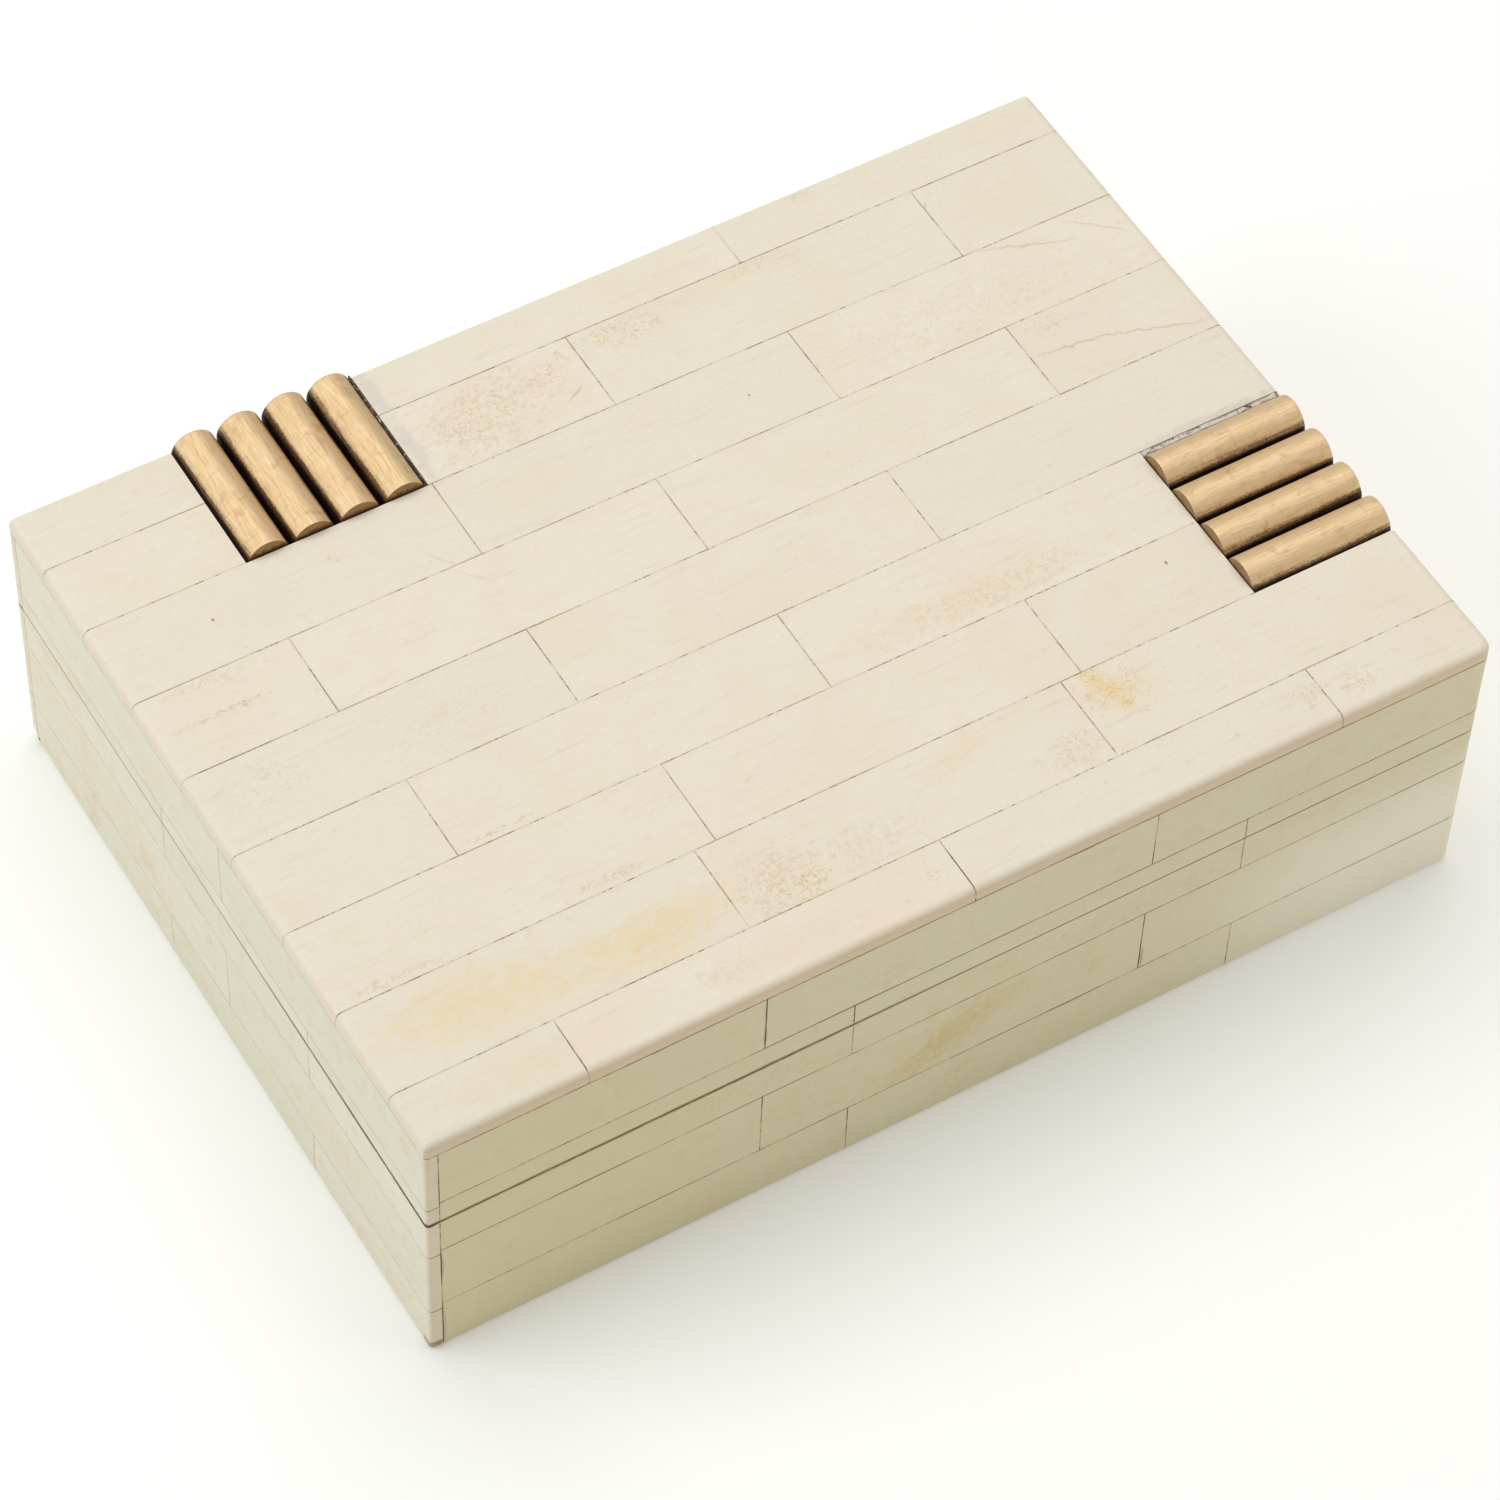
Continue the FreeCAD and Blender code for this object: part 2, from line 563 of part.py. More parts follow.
def countersinks(name, middle, up):
    """Cones and holes for a leaf's two screws; up is 1 where the heads are on its upper face."""
    tools = []
    face = BASE_TOP if up > 0 else LID_FOOT
    head, shank = cell("screw_head_radius"), cell("screw_radius")
    deep = cell("screw_head_depth")
    through = cell("leaf_thickness")
    for end, way in (("outer", "-"), ("inner", "+")):
        x = f"{middle} {way} {cell('screw_spacing')} / 2"
        y = f"{AXIS_Y} - {cell('screw_inset')}"
        if up > 0:
            tools.append(cone(f"{name}_{end}_sink", shank, head, deep, x, y, f"{face} - {deep}"))
            tools.append(cylinder(f"{name}_{end}_hole", shank, through, x, y, f"{face} - {through}"))
        else:
            tools.append(cone(f"{name}_{end}_sink", head, shank, deep, x, y, face))
            tools.append(cylinder(f"{name}_{end}_hole", shank, through, x, y, face))
    return tools


def stop_wedge(name, span, middle, angle, turn, inner_radius):
    """Part of a ring behind the barrel that limits how far the lid opens."""
    outer = barrel_piece(name + "_outer", cell("stop_radius"), span, middle, angle, turn)
    inner = barrel_piece(name + "_inner", inner_radius, span, middle)
    return cut(name, outer, inner)


def leaf(label, middle, levels, own, up):
    """One leaf of a hinge with its knuckles, trimmed clear of the other leaf's knuckles."""
    spans = knuckle_spans()
    whole = (f"-{cell('hinge_length')} / 2", cell("hinge_length"))
    half = f"{cell('hinge_length')} / 2"
    plate = box(
        label + "_plate",
        (f"{middle} - {half}", f"{middle} + {half}"),
        (f"{AXIS_Y} - {cell('leaf_reach')}", AXIS_Y),
        levels,
    )
    others = [n for n in range(KNUCKLES) if n not in own]
    clear = f"{cell('knuckle_radius')} + {cell('stop_gap')}"
    pitch = f"({cell('hinge_length')} / {KNUCKLES})"
    notch_length = f"({pitch} + {cell('knuckle_gap')})"
    notches = []
    for n in others:
        start = f"-{half} + {n} * {pitch} - {cell('knuckle_gap')} / 2"
        notches.append(barrel_piece(f"{label}_notch_{n + 1}", clear, (start, notch_length), middle))
    trimmed = cut(label + "_trimmed", plate, fuse(label + "_notches", notches))
    solids = [trimmed]
    for n in own:
        solids.append(barrel_piece(f"{label}_knuckle_{n + 1}", cell("knuckle_radius"), spans[n], middle))
    if up > 0:
        kind, angle, turn = "web", cell("stop_angle"), 0
        solids.append(stop_wedge(label + "_bar", whole, middle, angle, turn, clear))
    else:
        kind, angle = "lug", f"180 - {cell('stop_angle')} - {cell('open_angle')}"
        turn = size("stop_angle") + size("open_angle")
    for n in own:
        name = f"{label}_{kind}_{n + 1}"
        solids.append(stop_wedge(name, spans[n], middle, angle, turn, cell("pin_radius")))
    bore_gap = cell("fixed_bore_gap") if up > 0 else cell("running_bore_gap")
    bore = barrel_piece(label + "_bore", f"{cell('pin_radius')} + {bore_gap}", whole, middle)
    tools = fuse(label + "_tools", [bore, *countersinks(label, middle, up)])
    subpart(cut(label, fuse(label + "_solid", solids), tools), label)


def hinge_pin(label, middle):
    half = f"{cell('hinge_length')} / 2"
    shaft = barrel_piece(label + "_shaft", cell("pin_radius"), (f"-{half}", cell("hinge_length")), middle)
    heads = []
    for end, start in (("left", f"-{half} - {cell('pin_head_length')}"), ("right", half)):
        span = (start, cell("pin_head_length"))
        heads.append(barrel_piece(f"{label}_{end}_head", cell("pin_head_radius"), span, middle))
    subpart(fuse(label, [shaft, *heads]), label)


def screws(label, face, up):
    """Countersunk brass screws; up is 1 where the heads look up."""
    made = []
    head_depth, length, point = (cell(f"screw_{part}") for part in ("head_depth", "length", "point"))
    head, shank, tip = (cell(f"screw_{part}") for part in ("head_radius", "radius", "tip_radius"))
    shank_length = f"({length} - {head_depth} - {point})"
    slot_depth, half_slot = cell("slot_depth"), f"{cell('slot_width')} / 2"
    for end, x, y in screw_places():
        name = f"{label}_{end}"
        if up > 0:
            solids = [
                cone(name + "_head", shank, head, head_depth, x, y, f"{face} - {head_depth}"),
                cylinder(name + "_shank", shank, shank_length, x, y, f"{face} - {length} + {point}"),
                cone(name + "_tip", tip, shank, point, x, y, f"{face} - {length}"),
            ]
            slot_z = (f"{face} - {slot_depth}", face)
        else:
            solids = [
                cone(name + "_head", head, shank, head_depth, x, y, face),
                cylinder(name + "_shank", shank, shank_length, x, y, f"{face} + {head_depth}"),
                cone(name + "_tip", shank, tip, point, x, y, f"{face} + {length} - {point}"),
            ]
            slot_z = (face, f"{face} + {slot_depth}")
        slot_x = (f"{x} - {head}", f"{x} + {head}")
        slot_y = (f"{y} - {half_slot}", f"{y} + {half_slot}")
        slot = box(name + "_slot", slot_x, slot_y, slot_z)
        made.append(cut(name, fuse(name + "_blank", solids), slot))
    subpart(group(label, made), label)


base_knuckles, lid_knuckles = (0, 2, 4), (1, 3)
for side, sign in (("left", "-"), ("right", "")):
    middle = f"{sign}{cell('hinge_middle')}"
    leaf(f"hinge_{side}_base_leaf", middle, BASE_LEAF, base_knuckles, 1)
    leaf(f"hinge_{side}_lid_leaf", middle, LID_LEAF, lid_knuckles, -1)
    hinge_pin(f"hinge_{side}_pin", middle)
screws("hinge_base_screws", BASE_TOP, 1)
screws("hinge_lid_screws", LID_FOOT, -1)

# ---------------------------------------------------------------- checks and files
doc.recompute()
failed = [made.Name for made in doc.Objects if "Invalid" in made.State or "Error" in made.State]
if failed:
    raise RuntimeError(f"these objects failed: {failed}")
for made in SUBPARTS:
    if made.Shape.isNull() or not made.Shape.isValid() or not made.Shape.Solids:
        raise RuntimeError(f"{made.Label} has no valid solid")
os.makedirs("parts", exist_ok=True)
for old in os.listdir("parts"):
    os.remove(os.path.join("parts", old))
for made in SUBPARTS:
    made.Shape.exportStep(os.path.join("parts", made.Label + ".step"))
    extent = made.Shape.BoundBox
    print(
        f"{made.Label:24s} solids {len(made.Shape.Solids)}  volume {made.Shape.Volume:9.1f} mm3  "
        f"x {extent.XMin:7.2f} {extent.XMax:7.2f}  y {extent.YMin:7.2f} {extent.YMax:7.2f}  "
        f"z {extent.ZMin:6.2f} {extent.ZMax:6.2f}"
    )
print(f"{len(SUBPARTS)} sub-parts")
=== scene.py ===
import math
import random

import bmesh
import bpy
from mathutils import Matrix, Vector
from mathutils import noise as field


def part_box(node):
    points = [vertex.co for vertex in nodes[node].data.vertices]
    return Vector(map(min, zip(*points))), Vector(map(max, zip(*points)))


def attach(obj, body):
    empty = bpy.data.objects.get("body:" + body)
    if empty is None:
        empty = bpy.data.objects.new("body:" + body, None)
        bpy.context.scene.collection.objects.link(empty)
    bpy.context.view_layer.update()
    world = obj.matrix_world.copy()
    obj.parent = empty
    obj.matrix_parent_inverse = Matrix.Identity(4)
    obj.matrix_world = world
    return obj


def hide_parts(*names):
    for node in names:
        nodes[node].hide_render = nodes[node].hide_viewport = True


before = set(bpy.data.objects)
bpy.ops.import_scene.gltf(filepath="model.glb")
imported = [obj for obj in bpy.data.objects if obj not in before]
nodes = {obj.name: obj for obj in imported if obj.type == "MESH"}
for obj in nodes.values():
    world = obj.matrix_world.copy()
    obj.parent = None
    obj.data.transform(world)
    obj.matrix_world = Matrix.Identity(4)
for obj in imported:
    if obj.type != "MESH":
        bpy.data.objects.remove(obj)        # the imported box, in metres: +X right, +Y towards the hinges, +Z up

random.seed(11)
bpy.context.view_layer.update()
mm = 0.001
touching = 1e-7       # metres, for corners that lie on one plane


def screen(red, green, blue):
    # a colour as a paint chart gives it, 0 to 255, turned to the linear values that Blender mixes
    def linear(value):
        value /= 255
        return value / 12.92 if value <= 0.04045 else ((value + 0.055) / 1.055) ** 2.4
    return (linear(red), linear(green), linear(blue), 1.0)


# nodes of a material, written short

def shaderNode(tree, kind, inputs=None, **settings):
    made = tree.nodes.new("ShaderNode" + kind)
    for key, value in settings.items():
        setattr(made, key, value)
    for key, value in (inputs or {}).items():
        if isinstance(value, bpy.types.NodeSocket):
            tree.links.new(value, made.inputs[key])
        else:
            made.inputs[key].default_value = value
    return made


def calc(tree, operation, first, second=0.0, clamp=False):
    return shaderNode(tree, "Math", {0: first, 1: second}, operation=operation, use_clamp=clamp).outputs[0]


def product(tree, first, *others):
    for other in others:
        first = calc(tree, "MULTIPLY", first, other)
    return first


def swung(tree, value, reach):
    # a value of 0 to 1 turned to one from minus half the reach to plus half of it
    return shaderNode(tree, "Math", {0: value, 1: reach, 2: -reach / 2}, operation="MULTIPLY_ADD").outputs[0]


def vectorCalc(tree, operation, first, second):
    return shaderNode(tree, "VectorMath", {0: first, 1: second}, operation=operation).outputs[0]


def enlarged(tree, vector, factor):
    return shaderNode(tree, "VectorMath", {0: vector, "Scale": factor}, operation="SCALE").outputs[0]


def split(tree, vector):
    return shaderNode(tree, "SeparateXYZ", {0: vector}).outputs


def mixed(tree, share, low, high):
    return shaderNode(tree, "Mix", {0: share, 6: low, 7: high}, data_type="RGBA").outputs[2]


def cloud(tree, where, scale, detail=3.0, rough=0.5, twist=0.0):
    inputs = {"Vector": where, "Scale": scale, "Detail": detail, "Roughness": rough, "Distortion": twist}
    return shaderNode(tree, "TexNoise", inputs).outputs[0]


def ranged(tree, value, low, high, start=0.0, end=1.0):
    inputs = {"Value": value, "From Min": low, "From Max": high, "To Min": start, "To Max": end}
    return shaderNode(tree, "MapRange", inputs, interpolation_type="SMOOTHSTEP", clamp=True).outputs[0]


def stretched(tree, where, scale):
    return shaderNode(tree, "Mapping", {"Vector": where, "Scale": scale}).outputs[0]


def alongRun(run, lengthwise, crosswise=1.0):
    # scales for a pattern that is drawn out along one axis
    return [lengthwise if axis == run else crosswise for axis in range(3)]


def remoteness(tree, where, centre, reach, turn=0):
    # 0 at the centre of a patch and 1 at its edge
    moved = vectorCalc(tree, "SUBTRACT", where, centre)
    angle = (0.0, 0.0, -math.radians(turn))
    turned = shaderNode(tree, "Mapping", {"Vector": moved, "Rotation": angle}).outputs[0]
    sized = stretched(tree, turned, [1 / half if half else 0.0 for half in reach])
    return shaderNode(tree, "VectorMath", {0: sized}, operation="LENGTH").outputs["Value"]


def newMaterial(name):
    # returns the material, its nodes, its shader and the place on the object in millimetres
    made = bpy.data.materials.new(name)
    made.use_nodes = True
    tree = made.node_tree
    where = shaderNode(tree, "TexCoord").outputs["Object"]
    return made, tree, tree.nodes["Principled BSDF"], enlarged(tree, where, 1 / mm)


def facing(tree):
    # which way the surface looks, in the object's own axes
    return split(tree, shaderNode(tree, "TexCoord").outputs["Normal"])


def bumped(tree, shader, height, strength, depth):
    made = shaderNode(tree, "Bump", {"Height": height, "Strength": strength, "Distance": depth})
    tree.links.new(made.outputs[0], shader.inputs["Normal"])


def paint(name, material):
    nodes[name].data.materials.clear()
    nodes[name].data.materials.append(material)


# meshes

def block(shape, low, high):
    made = bmesh.ops.create_cube(shape, size=1.0)["verts"]
    bmesh.ops.scale(shape, vec=high - low, verts=made)
    bmesh.ops.translate(shape, vec=(low + high) / 2, verts=made)
    return made


def cutAcross(shape, axis, places):
    plane = Vector((0, 0, 0))
    plane[axis] = 1
    for place in places:
        everything = [*shape.verts, *shape.edges, *shape.faces]
        bmesh.ops.bisect_plane(shape, geom=everything, plane_co=plane * place, plane_no=plane)


def rounded(shape, edges, radius, steps):
    bmesh.ops.bevel(
        shape, geom=edges, offset=radius, segments=steps, profile=0.5, affect="EDGES", material=-1
    )


def newPiece(name, shape, material, body, smooth=True):
    data = bpy.data.meshes.new(name)
    shape.to_mesh(data)
    shape.free()
    for face in data.polygons:
        face.use_smooth = smooth
    data.materials.append(material)
    piece = bpy.data.objects.new(name, data)
    bpy.context.scene.collection.objects.link(piece)
    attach(piece, body)
    return piece


# the slips of bone in a row: the solids of its CAD node, from low to high along the row

def slipsOf(name):
    shape = bmesh.new()
    shape.from_mesh(nodes[name].data)
    bmesh.ops.remove_doubles(shape, verts=shape.verts, dist=1e-6)
    left, found = set(shape.verts), []
    while left:
        group, edge = set(), [left.pop()]
        while edge:
            vert = edge.pop()
            group.add(vert)
            for link in vert.link_edges:
                other = link.other_vert(vert)
                if other in left:
                    left.discard(other)
                    edge.append(other)
        corners = [v.co for v in group]
        low = Vector([min(c[i] for c in corners) for i in range(3)])
        high = Vector([max(c[i] for c in corners) for i in range(3)])
        found.append((low, high))
    shape.free()
    return sorted(found, key=lambda slip: slip[0][runOf(name)])


def runOf(name):
    # the axis that a row of bone or a board lies along
    return 1 if "left" in name or "right" in name else 0


def outsideOf(rows):
    corners = [slip for row in rows for slip in slips[row]]
    low = Vector([min(c[0][i] for c in corners) for i in range(3)])
    return low, Vector([max(c[1][i] for c in corners) for i in range(3)])


boneRows = sorted(name for name in nodes if name.startswith("bone_"))
lidRows = [name for name in boneRows if "_top_" in name or "_lid_" in name]
baseRows = [name for name in boneRows if "_base_" in name]
slips = {name: slipsOf(name) for name in boneRows}
print(f"{sum(len(s) for s in slips.values())} slips of bone in {len(boneRows)} rows")

# planes of the box in millimetres, for the materials
halfLength, halfDepth, lidTop = (v / mm for v in outsideOf(boneRows)[1])
panelTop = slips["bone_top_row_1"][0][0].z / mm
splitHeight = (outsideOf(baseRows)[1].z + outsideOf(lidRows)[0].z) / 2 / mm


# bone: colours, among them painted shade and painted bounce light, the reach of its wear and of its painted
# shade in millimetres, and how it takes light
bone = {
    "ivory": screen(235, 227, 210),
    "cream": screen(234, 223, 200),
    "pink": screen(236, 221, 205),
    "grey": screen(228, 223, 207),
    "sage": screen(222, 222, 200),
    "patch": screen(224, 204, 166),
    "streak": screen(220, 203, 174),
    "pore": screen(196, 168, 124),
    "edge": screen(216, 190, 148),
    "endGrain": screen(226, 202, 164),
    # painted shade and grime for the split between lid and base
    "shadeAndGrime": screen(52, 38, 24),
    "foot": screen(136, 106, 68),
    # a yellow tint of shade and a pale of bounce light, both painted on the front wall
    "shadeYellow": screen(212, 202, 150),
    "bounceLightPale": screen(248, 244, 224),
    "rimDepth": 1.1,
    "shadeAndGrimeDepth": 1.0,
    "shadeAndGrimeFade": 1.1,
    "splitBand": (0.5, 0.3),
    "shadeAndGrimeSpread": 0.20,
    "wallThickness": 2.0,
    "footHeight": (2.0, 1.7),
    "markShare": 0.75,
    "roughness": 0.52,
    "specular": 0.3,
    "glow": 0.08,
    "glowTint": (1.0, 0.75, 0.45),
    "glowDepth": 0.8 * mm,
    "grainDepth": 0.02 * mm,
}
figureColours = {
    "stain": screen(234, 208, 152),
    "amber": screen(212, 176, 88),
    "cloud": screen(234, 210, 168),
    "speckle": screen(206, 178, 130),
    "swirl": screen(210, 174, 116),
    "vein": screen(204, 170, 122),
    "spot": screen(126, 84, 52),
    "residue": screen(214, 208, 200),
    "dirt": screen(58, 42, 26),
}
# figure in each row: kind, centre and half size in mm along and across the row, turn in degrees, strength
figures = {
    "bone_top_row_1": [
        ("speckle", (46, 62), (2.5, 2), 0, 0.35), ("stain", (80, 60), (12, 5), 0, 0.15),
        ("residue", (-30.4, 58), (1.2, 9), 0, 0.8),
    ],
    "bone_top_row_2": [
        ("speckle", (-18, 47), (13, 8), 10, 0.55), ("swirl", (-18, 47), (13, 7), 10, 0.45),
        ("swirl", (-5, 50), (4, 4), 0, 0.9), ("vein", (-4, 44), (2.2, 0.3), 35, 0.7),
        ("swirl", (9, 52), (10, 3.5), 4, 0.85), ("cloud", (24, 53), (14, 2.5), 0, 0.35),
        ("cloud", (74, 46), (12, 8), 0, 0.25), ("vein", (62, 51), (1, 0.3), 60, 0.5),
        ("residue", (-30.4, 46), (1.2, 8), 0, 0.8), ("swirl", (34, 53), (8, 2), 0, 0.5),
    ],
    "bone_top_row_3": [
        ("spot", (-71.5, 32), (0.25, 0.4), 0, 0.9), ("swirl", (-51, 33.5), (1.6, 1.2), 0, 0.9),
        ("vein", (-37, 25.5), (4, 0.3), -55, 0.3), ("vein", (71, 36.5), (9, 0.3), -20, 0.5),
        ("swirl", (55, 30), (26, 6), 0, 0.4), ("spot", (18.5, 31), (0.2, 0.3), 0, 0.8),
        ("vein", (83, 34.5), (6, 0.3), -40, 0.4), ("cloud", (-20, 31), (12, 6), 0, 0.2),
        ("residue", (-46, 38.6), (15, 0.6), 0, 0.35),
    ],
    "bone_top_row_4": [
        ("speckle", (-78, 16.2), (9, 0.8), 0, 0.9), ("swirl", (-78, 22.3), (10, 1.2), 0, 0.6),
        ("vein", (67, 15.5), (8, 0.3), -8, 0.6), ("vein", (79, 12.5), (9, 0.3), -18, 0.6),
        ("swirl", (65, 21), (4, 2), 0, 0.5), ("vein", (-34, 20), (3.5, 0.25), -50, 0.3),
    ],
    "bone_top_row_5": [
        ("swirl", (-79, 1.5), (9, 5), 0, 0.45), ("swirl", (-50, -0.5), (12, 5), 0, 0.3),
        ("swirl", (12, 0), (8, 5), 0, 0.2), ("residue", (76, -7.0), (15, 1.1), 0, 1.0),
        ("speckle", (82, -6.6), (7, 0.8), 0, 0.5),
    ],
    "bone_top_row_6": [
        ("cloud", (25, -18), (26, 4), 0, 0.35), ("speckle", (30, -19), (24, 3), 0, 0.4),
        ("cloud", (-85, -19), (4, 3), 0, 0.3), ("speckle", (-55, -21.6), (7, 0.7), 0, 0.7),
    ],
    "bone_top_row_7": [
        ("stain", (47, -27), (9, 4), 25, 0.2), ("spot", (55.5, -27.2), (0.3, 0.45), 0, 0.9),
        ("speckle", (-44, -36.5), (6, 1.2), 0, 0.6), ("speckle", (-80, -36.8), (9, 1.0), 0, 0.5),
    ],
    "bone_top_row_8": [
        ("stain", (-66, -47), (26, 5.5), -4, 0.55), ("stain", (-42, -48), (14, 6), 10, 0.55),
        ("stain", (-72, -43), (16, 5), 0, 0.35), ("speckle", (-24, -48.5), (8, 6), 0, 0.5),
        ("swirl", (-22, -50.5), (9, 5), 20, 0.7), ("swirl", (-20, -51.5), (3, 2.2), 40, 1.0),
        ("speckle", (-8, -49), (10, 4), 0, 0.3), ("cloud", (10, -42), (10, 3), 18, 0.4),
        ("speckle", (25, -50), (6, 3.5), 0, 0.4), ("swirl", (25, -50), (6, 4), 0, 0.5),
        ("stain", (35, -42.5), (3.0, 5.5), 20, 1.0), ("swirl", (36, -43), (6, 6), -30, 1.0),
        ("stain", (38, -44), (7, 5), 0, 0.25), ("cloud", (82, -46), (7, 6), 0, 0.2),
    ],
    "bone_top_row_9": [
        ("swirl", (-4.5, -58), (0.9, 2.2), 0, 0.9), ("swirl", (-10, -61.3), (0.8, 1.4), 0, 0.8),
        ("swirl", (59, -58), (4, 3), 0, 0.8), ("swirl", (68, -59), (5, 3), 0, 0.7),
        ("cloud", (-70, -59), (16, 5), 0, 0.4), ("cloud", (-30, -60), (14, 3), 0, 0.2),
        ("swirl", (47, -60), (0.8, 2.2), 0, 0.6), ("speckle", (-38, -59), (7, 2.5), 0, 0.25),
    ],
    "bone_base_front_row_2": [
        ("amber", (-2, 18.5), (9, 4.5), 35, 0.8), ("amber", (-10, 14), (7, 3), 30, 0.5),
        ("amber", (6, 21.5), (8, 3.5), 30, 0.35), ("speckle", (-4, 17), (12, 6), 30, 0.6),
        ("swirl", (-5, 16), (5, 4), 40, 0.8), ("swirl", (14, 20), (12, 4), 0, 0.5),
        ("swirl", (-76, 16), (1.2, 5), 0, 0.8), ("swirl", (-27, 19), (5, 6), 0, 0.6),
        ("dirt", (30.9, 14), (0.3, 2.8), 0, 1.0), ("dirt", (-86.7, 21), (0.35, 3), 0, 0.8),
    ],
    "bone_lid_front_row_1": [
        ("swirl", (-14, 43), (7, 5), 0, 0.5), ("swirl", (-68, 42), (3, 3), 0, 0.5),
        ("dirt", (-34.7, 40.5), (0.32, 2.8), 0, 1.0), ("dirt", (-34.7, 46), (0.22, 3.5), 0, 0.7),
        ("dirt", (-22, 37.45), (13, 0.2), 0, 0.7), ("dirt", (18, 49.25), (4, 0.2), 0, 0.9),
        ("dirt", (30, 49.25), (2.5, 0.15), 0, 0.8), ("dirt", (-52, 49.25), (1.5, 0.2), 0, 0.9),
        ("dirt", (-15, 49.25), (12, 0.1), 0, 0.6),
    ],
    "bone_lid_front_row_2": [
        ("swirl", (-68, 35), (4, 2), 0, 0.5), ("swirl", (18, 35), (12, 2), 0, 0.5),
    ],
    "bone_base_front_row_1": [
        ("speckle", (-36, 29), (14, 3), 0, 0.5), ("swirl", (30, 28), (15, 3), 0, 0.8),
        ("dirt", (-63, 25.3), (7, 0.15), 0, 0.8), ("swirl", (8, 30), (10, 3), 0, 0.6),
    ],
    "bone_base_front_row_3": [
        ("cloud", (-52, 5), (18, 4), 0, 0.35), ("dirt", (-86.6, 5), (0.35, 6), 0, 0.5),
        ("dirt", (18, 11.1), (4, 0.15), 0, 0.8), ("speckle", (0, 6), (6, 4), 0, 0.5),
    ],
    "bone_base_left_row_2": [("cloud", (-38, 18), (12, 5), 0, 0.3)],
    "bone_lid_left_row_1": [("cloud", (20, 42), (18, 4), 0, 0.3)],
}


def slipVariation(tree, name, run, along, place):
    # chances drawn for each slip, and its own cut out of the pattern
    row = slips[name]
    joints = [(before[1][run] + after[0][run]) / 2 / mm for before, after in zip(row, row[1:])]
    slip = calc(tree, "GREATER_THAN", along, joints[0])
    for joint in joints[1:]:
        slip = calc(tree, "ADD", slip, calc(tree, "GREATER_THAN", along, joint))
    key = calc(tree, "ADD", slip, 10.0 * boneRows.index(name) + 3.0)
    chance = shaderNode(tree, "TexWhiteNoise", {"W": key}, noise_dimensions="1D").outputs["Color"]
    dice = shaderNode(tree, "SeparateColor", {0: chance}).outputs
    return dice, vectorCalc(tree, "ADD", place, enlarged(tree, chance, 240.0))


def groundColour(tree, run, onTop, dice, cut):
    # ivory, with warm and pink clouds that differ from slip to slip
    broad = cloud(tree, cut, 0.045, 3.0, 0.55, 0.6)
    warmth = product(tree, ranged(tree, broad, 0.38, 0.68), dice[0])
    colour = mixed(tree, warmth, bone["ivory"], bone["cream"])
    blush = ranged(tree, cloud(tree, cut, 0.11, 4.0, 0.6, 1.0), 0.45, 0.7)
    colour = mixed(tree, product(tree, blush, 0.7 if onTop else 0.4), colour, bone["pink"])
    least, most = (0.0, 0.45) if onTop else (0.35, 0.75)
    coolness = ranged(tree, dice[1], 0.0, 1.0, least, most)
    colour = mixed(tree, coolness, colour, bone["grey"] if onTop else bone["sage"])
    # fibres along the slip, and short pores
    grain = stretched(tree, cut, alongRun(run, 0.09))
    fibre = cloud(tree, grain, 1.1, 6.0, 0.62, 0.5)
    colour = mixed(tree, ranged(tree, fibre, 0.52, 0.78, 0.0, 0.42), colour, bone["streak"])
    fine = cloud(tree, grain, 5.0, 2.0, 0.5)
    colour = mixed(tree, ranged(tree, fine, 0.60, 0.80, 0.0, 0.30), colour, bone["streak"])
    mottle = cloud(tree, cut, 0.9, 4.0, 0.65, 1.5)
    colour = mixed(tree, ranged(tree, mottle, 0.5, 0.72, 0.0, 0.28), colour, bone["streak"])
    colour = mixed(tree, ranged(tree, mottle, 0.5, 0.3, 0.0, 0.25), colour, bone["grey"])
    dashes = cloud(tree, stretched(tree, cut, alongRun(run, 0.6, 4.0)), 0.8, 1.0)
    colour = mixed(tree, product(tree, ranged(tree, dashes, 0.74, 0.80), 0.35), colour, bone["pore"])
    return colour, fibre, fine


def withFigures(tree, name, colour, place, along, across):
    # marks of this row's own, with ragged outlines
    flat = shaderNode(tree, "CombineXYZ", {0: along, 1: across}).outputs[0]
    bent = calc(tree, "ADD", across, swung(tree, cloud(tree, place, 0.5, 4.0, 0.6), 1.8))
    wavy = shaderNode(tree, "CombineXYZ", {0: along, 1: bent}).outputs[0]
    ragged = swung(tree, cloud(tree, place, 0.55, 5.0, 0.65), 2.2)
    lumps = ranged(tree, cloud(tree, place, 1.3, 5.0, 0.7, 0.8), 0.47, 0.60)
    ridge = calc(tree, "SUBTRACT", cloud(tree, place, 0.42, 3.0, 0.55, 1.6), 0.5)
    lines = ranged(tree, calc(tree, "ABSOLUTE", ridge), 0.028, 0.0)
    for kind, centre, reach, turn, strength in figures.get(name, ()):
        away = remoteness(tree, wavy if kind == "vein" else flat, (*centre, 0.0), (*reach, 0.0), turn)
        inner = 0.0 if kind in ("stain", "amber", "cloud") else 0.4
        if kind in ("vein", "spot", "dirt"):
            mask = ranged(tree, away, 1.2, 0.35)
        else:
            mask = ranged(tree, calc(tree, "ADD", away, ragged), 1.2, inner)
        if kind in ("speckle", "swirl"):
            mask = product(tree, mask, lumps if kind == "speckle" else lines)
        share = calc(tree, "MULTIPLY", mask, bone["markShare"] * strength, clamp=True)
        colour = mixed(tree, share, colour, figureColours[kind])
    return colour


def withRim(tree, colour, height, normal):
    # the lid's outer edge is warmer where the thickness of the bone shows: a little all round, and much more on
    # the front, where it is painted shade on the rounding turned from the light
    frontShade = ranged(tree, normal[1], -0.2, -0.7, 0.08, 0.65)
    rim = product(tree, ranged(tree, height, lidTop, lidTop - bone["rimDepth"]), frontShade)
    return mixed(tree, rim, colour, bone["edge"])


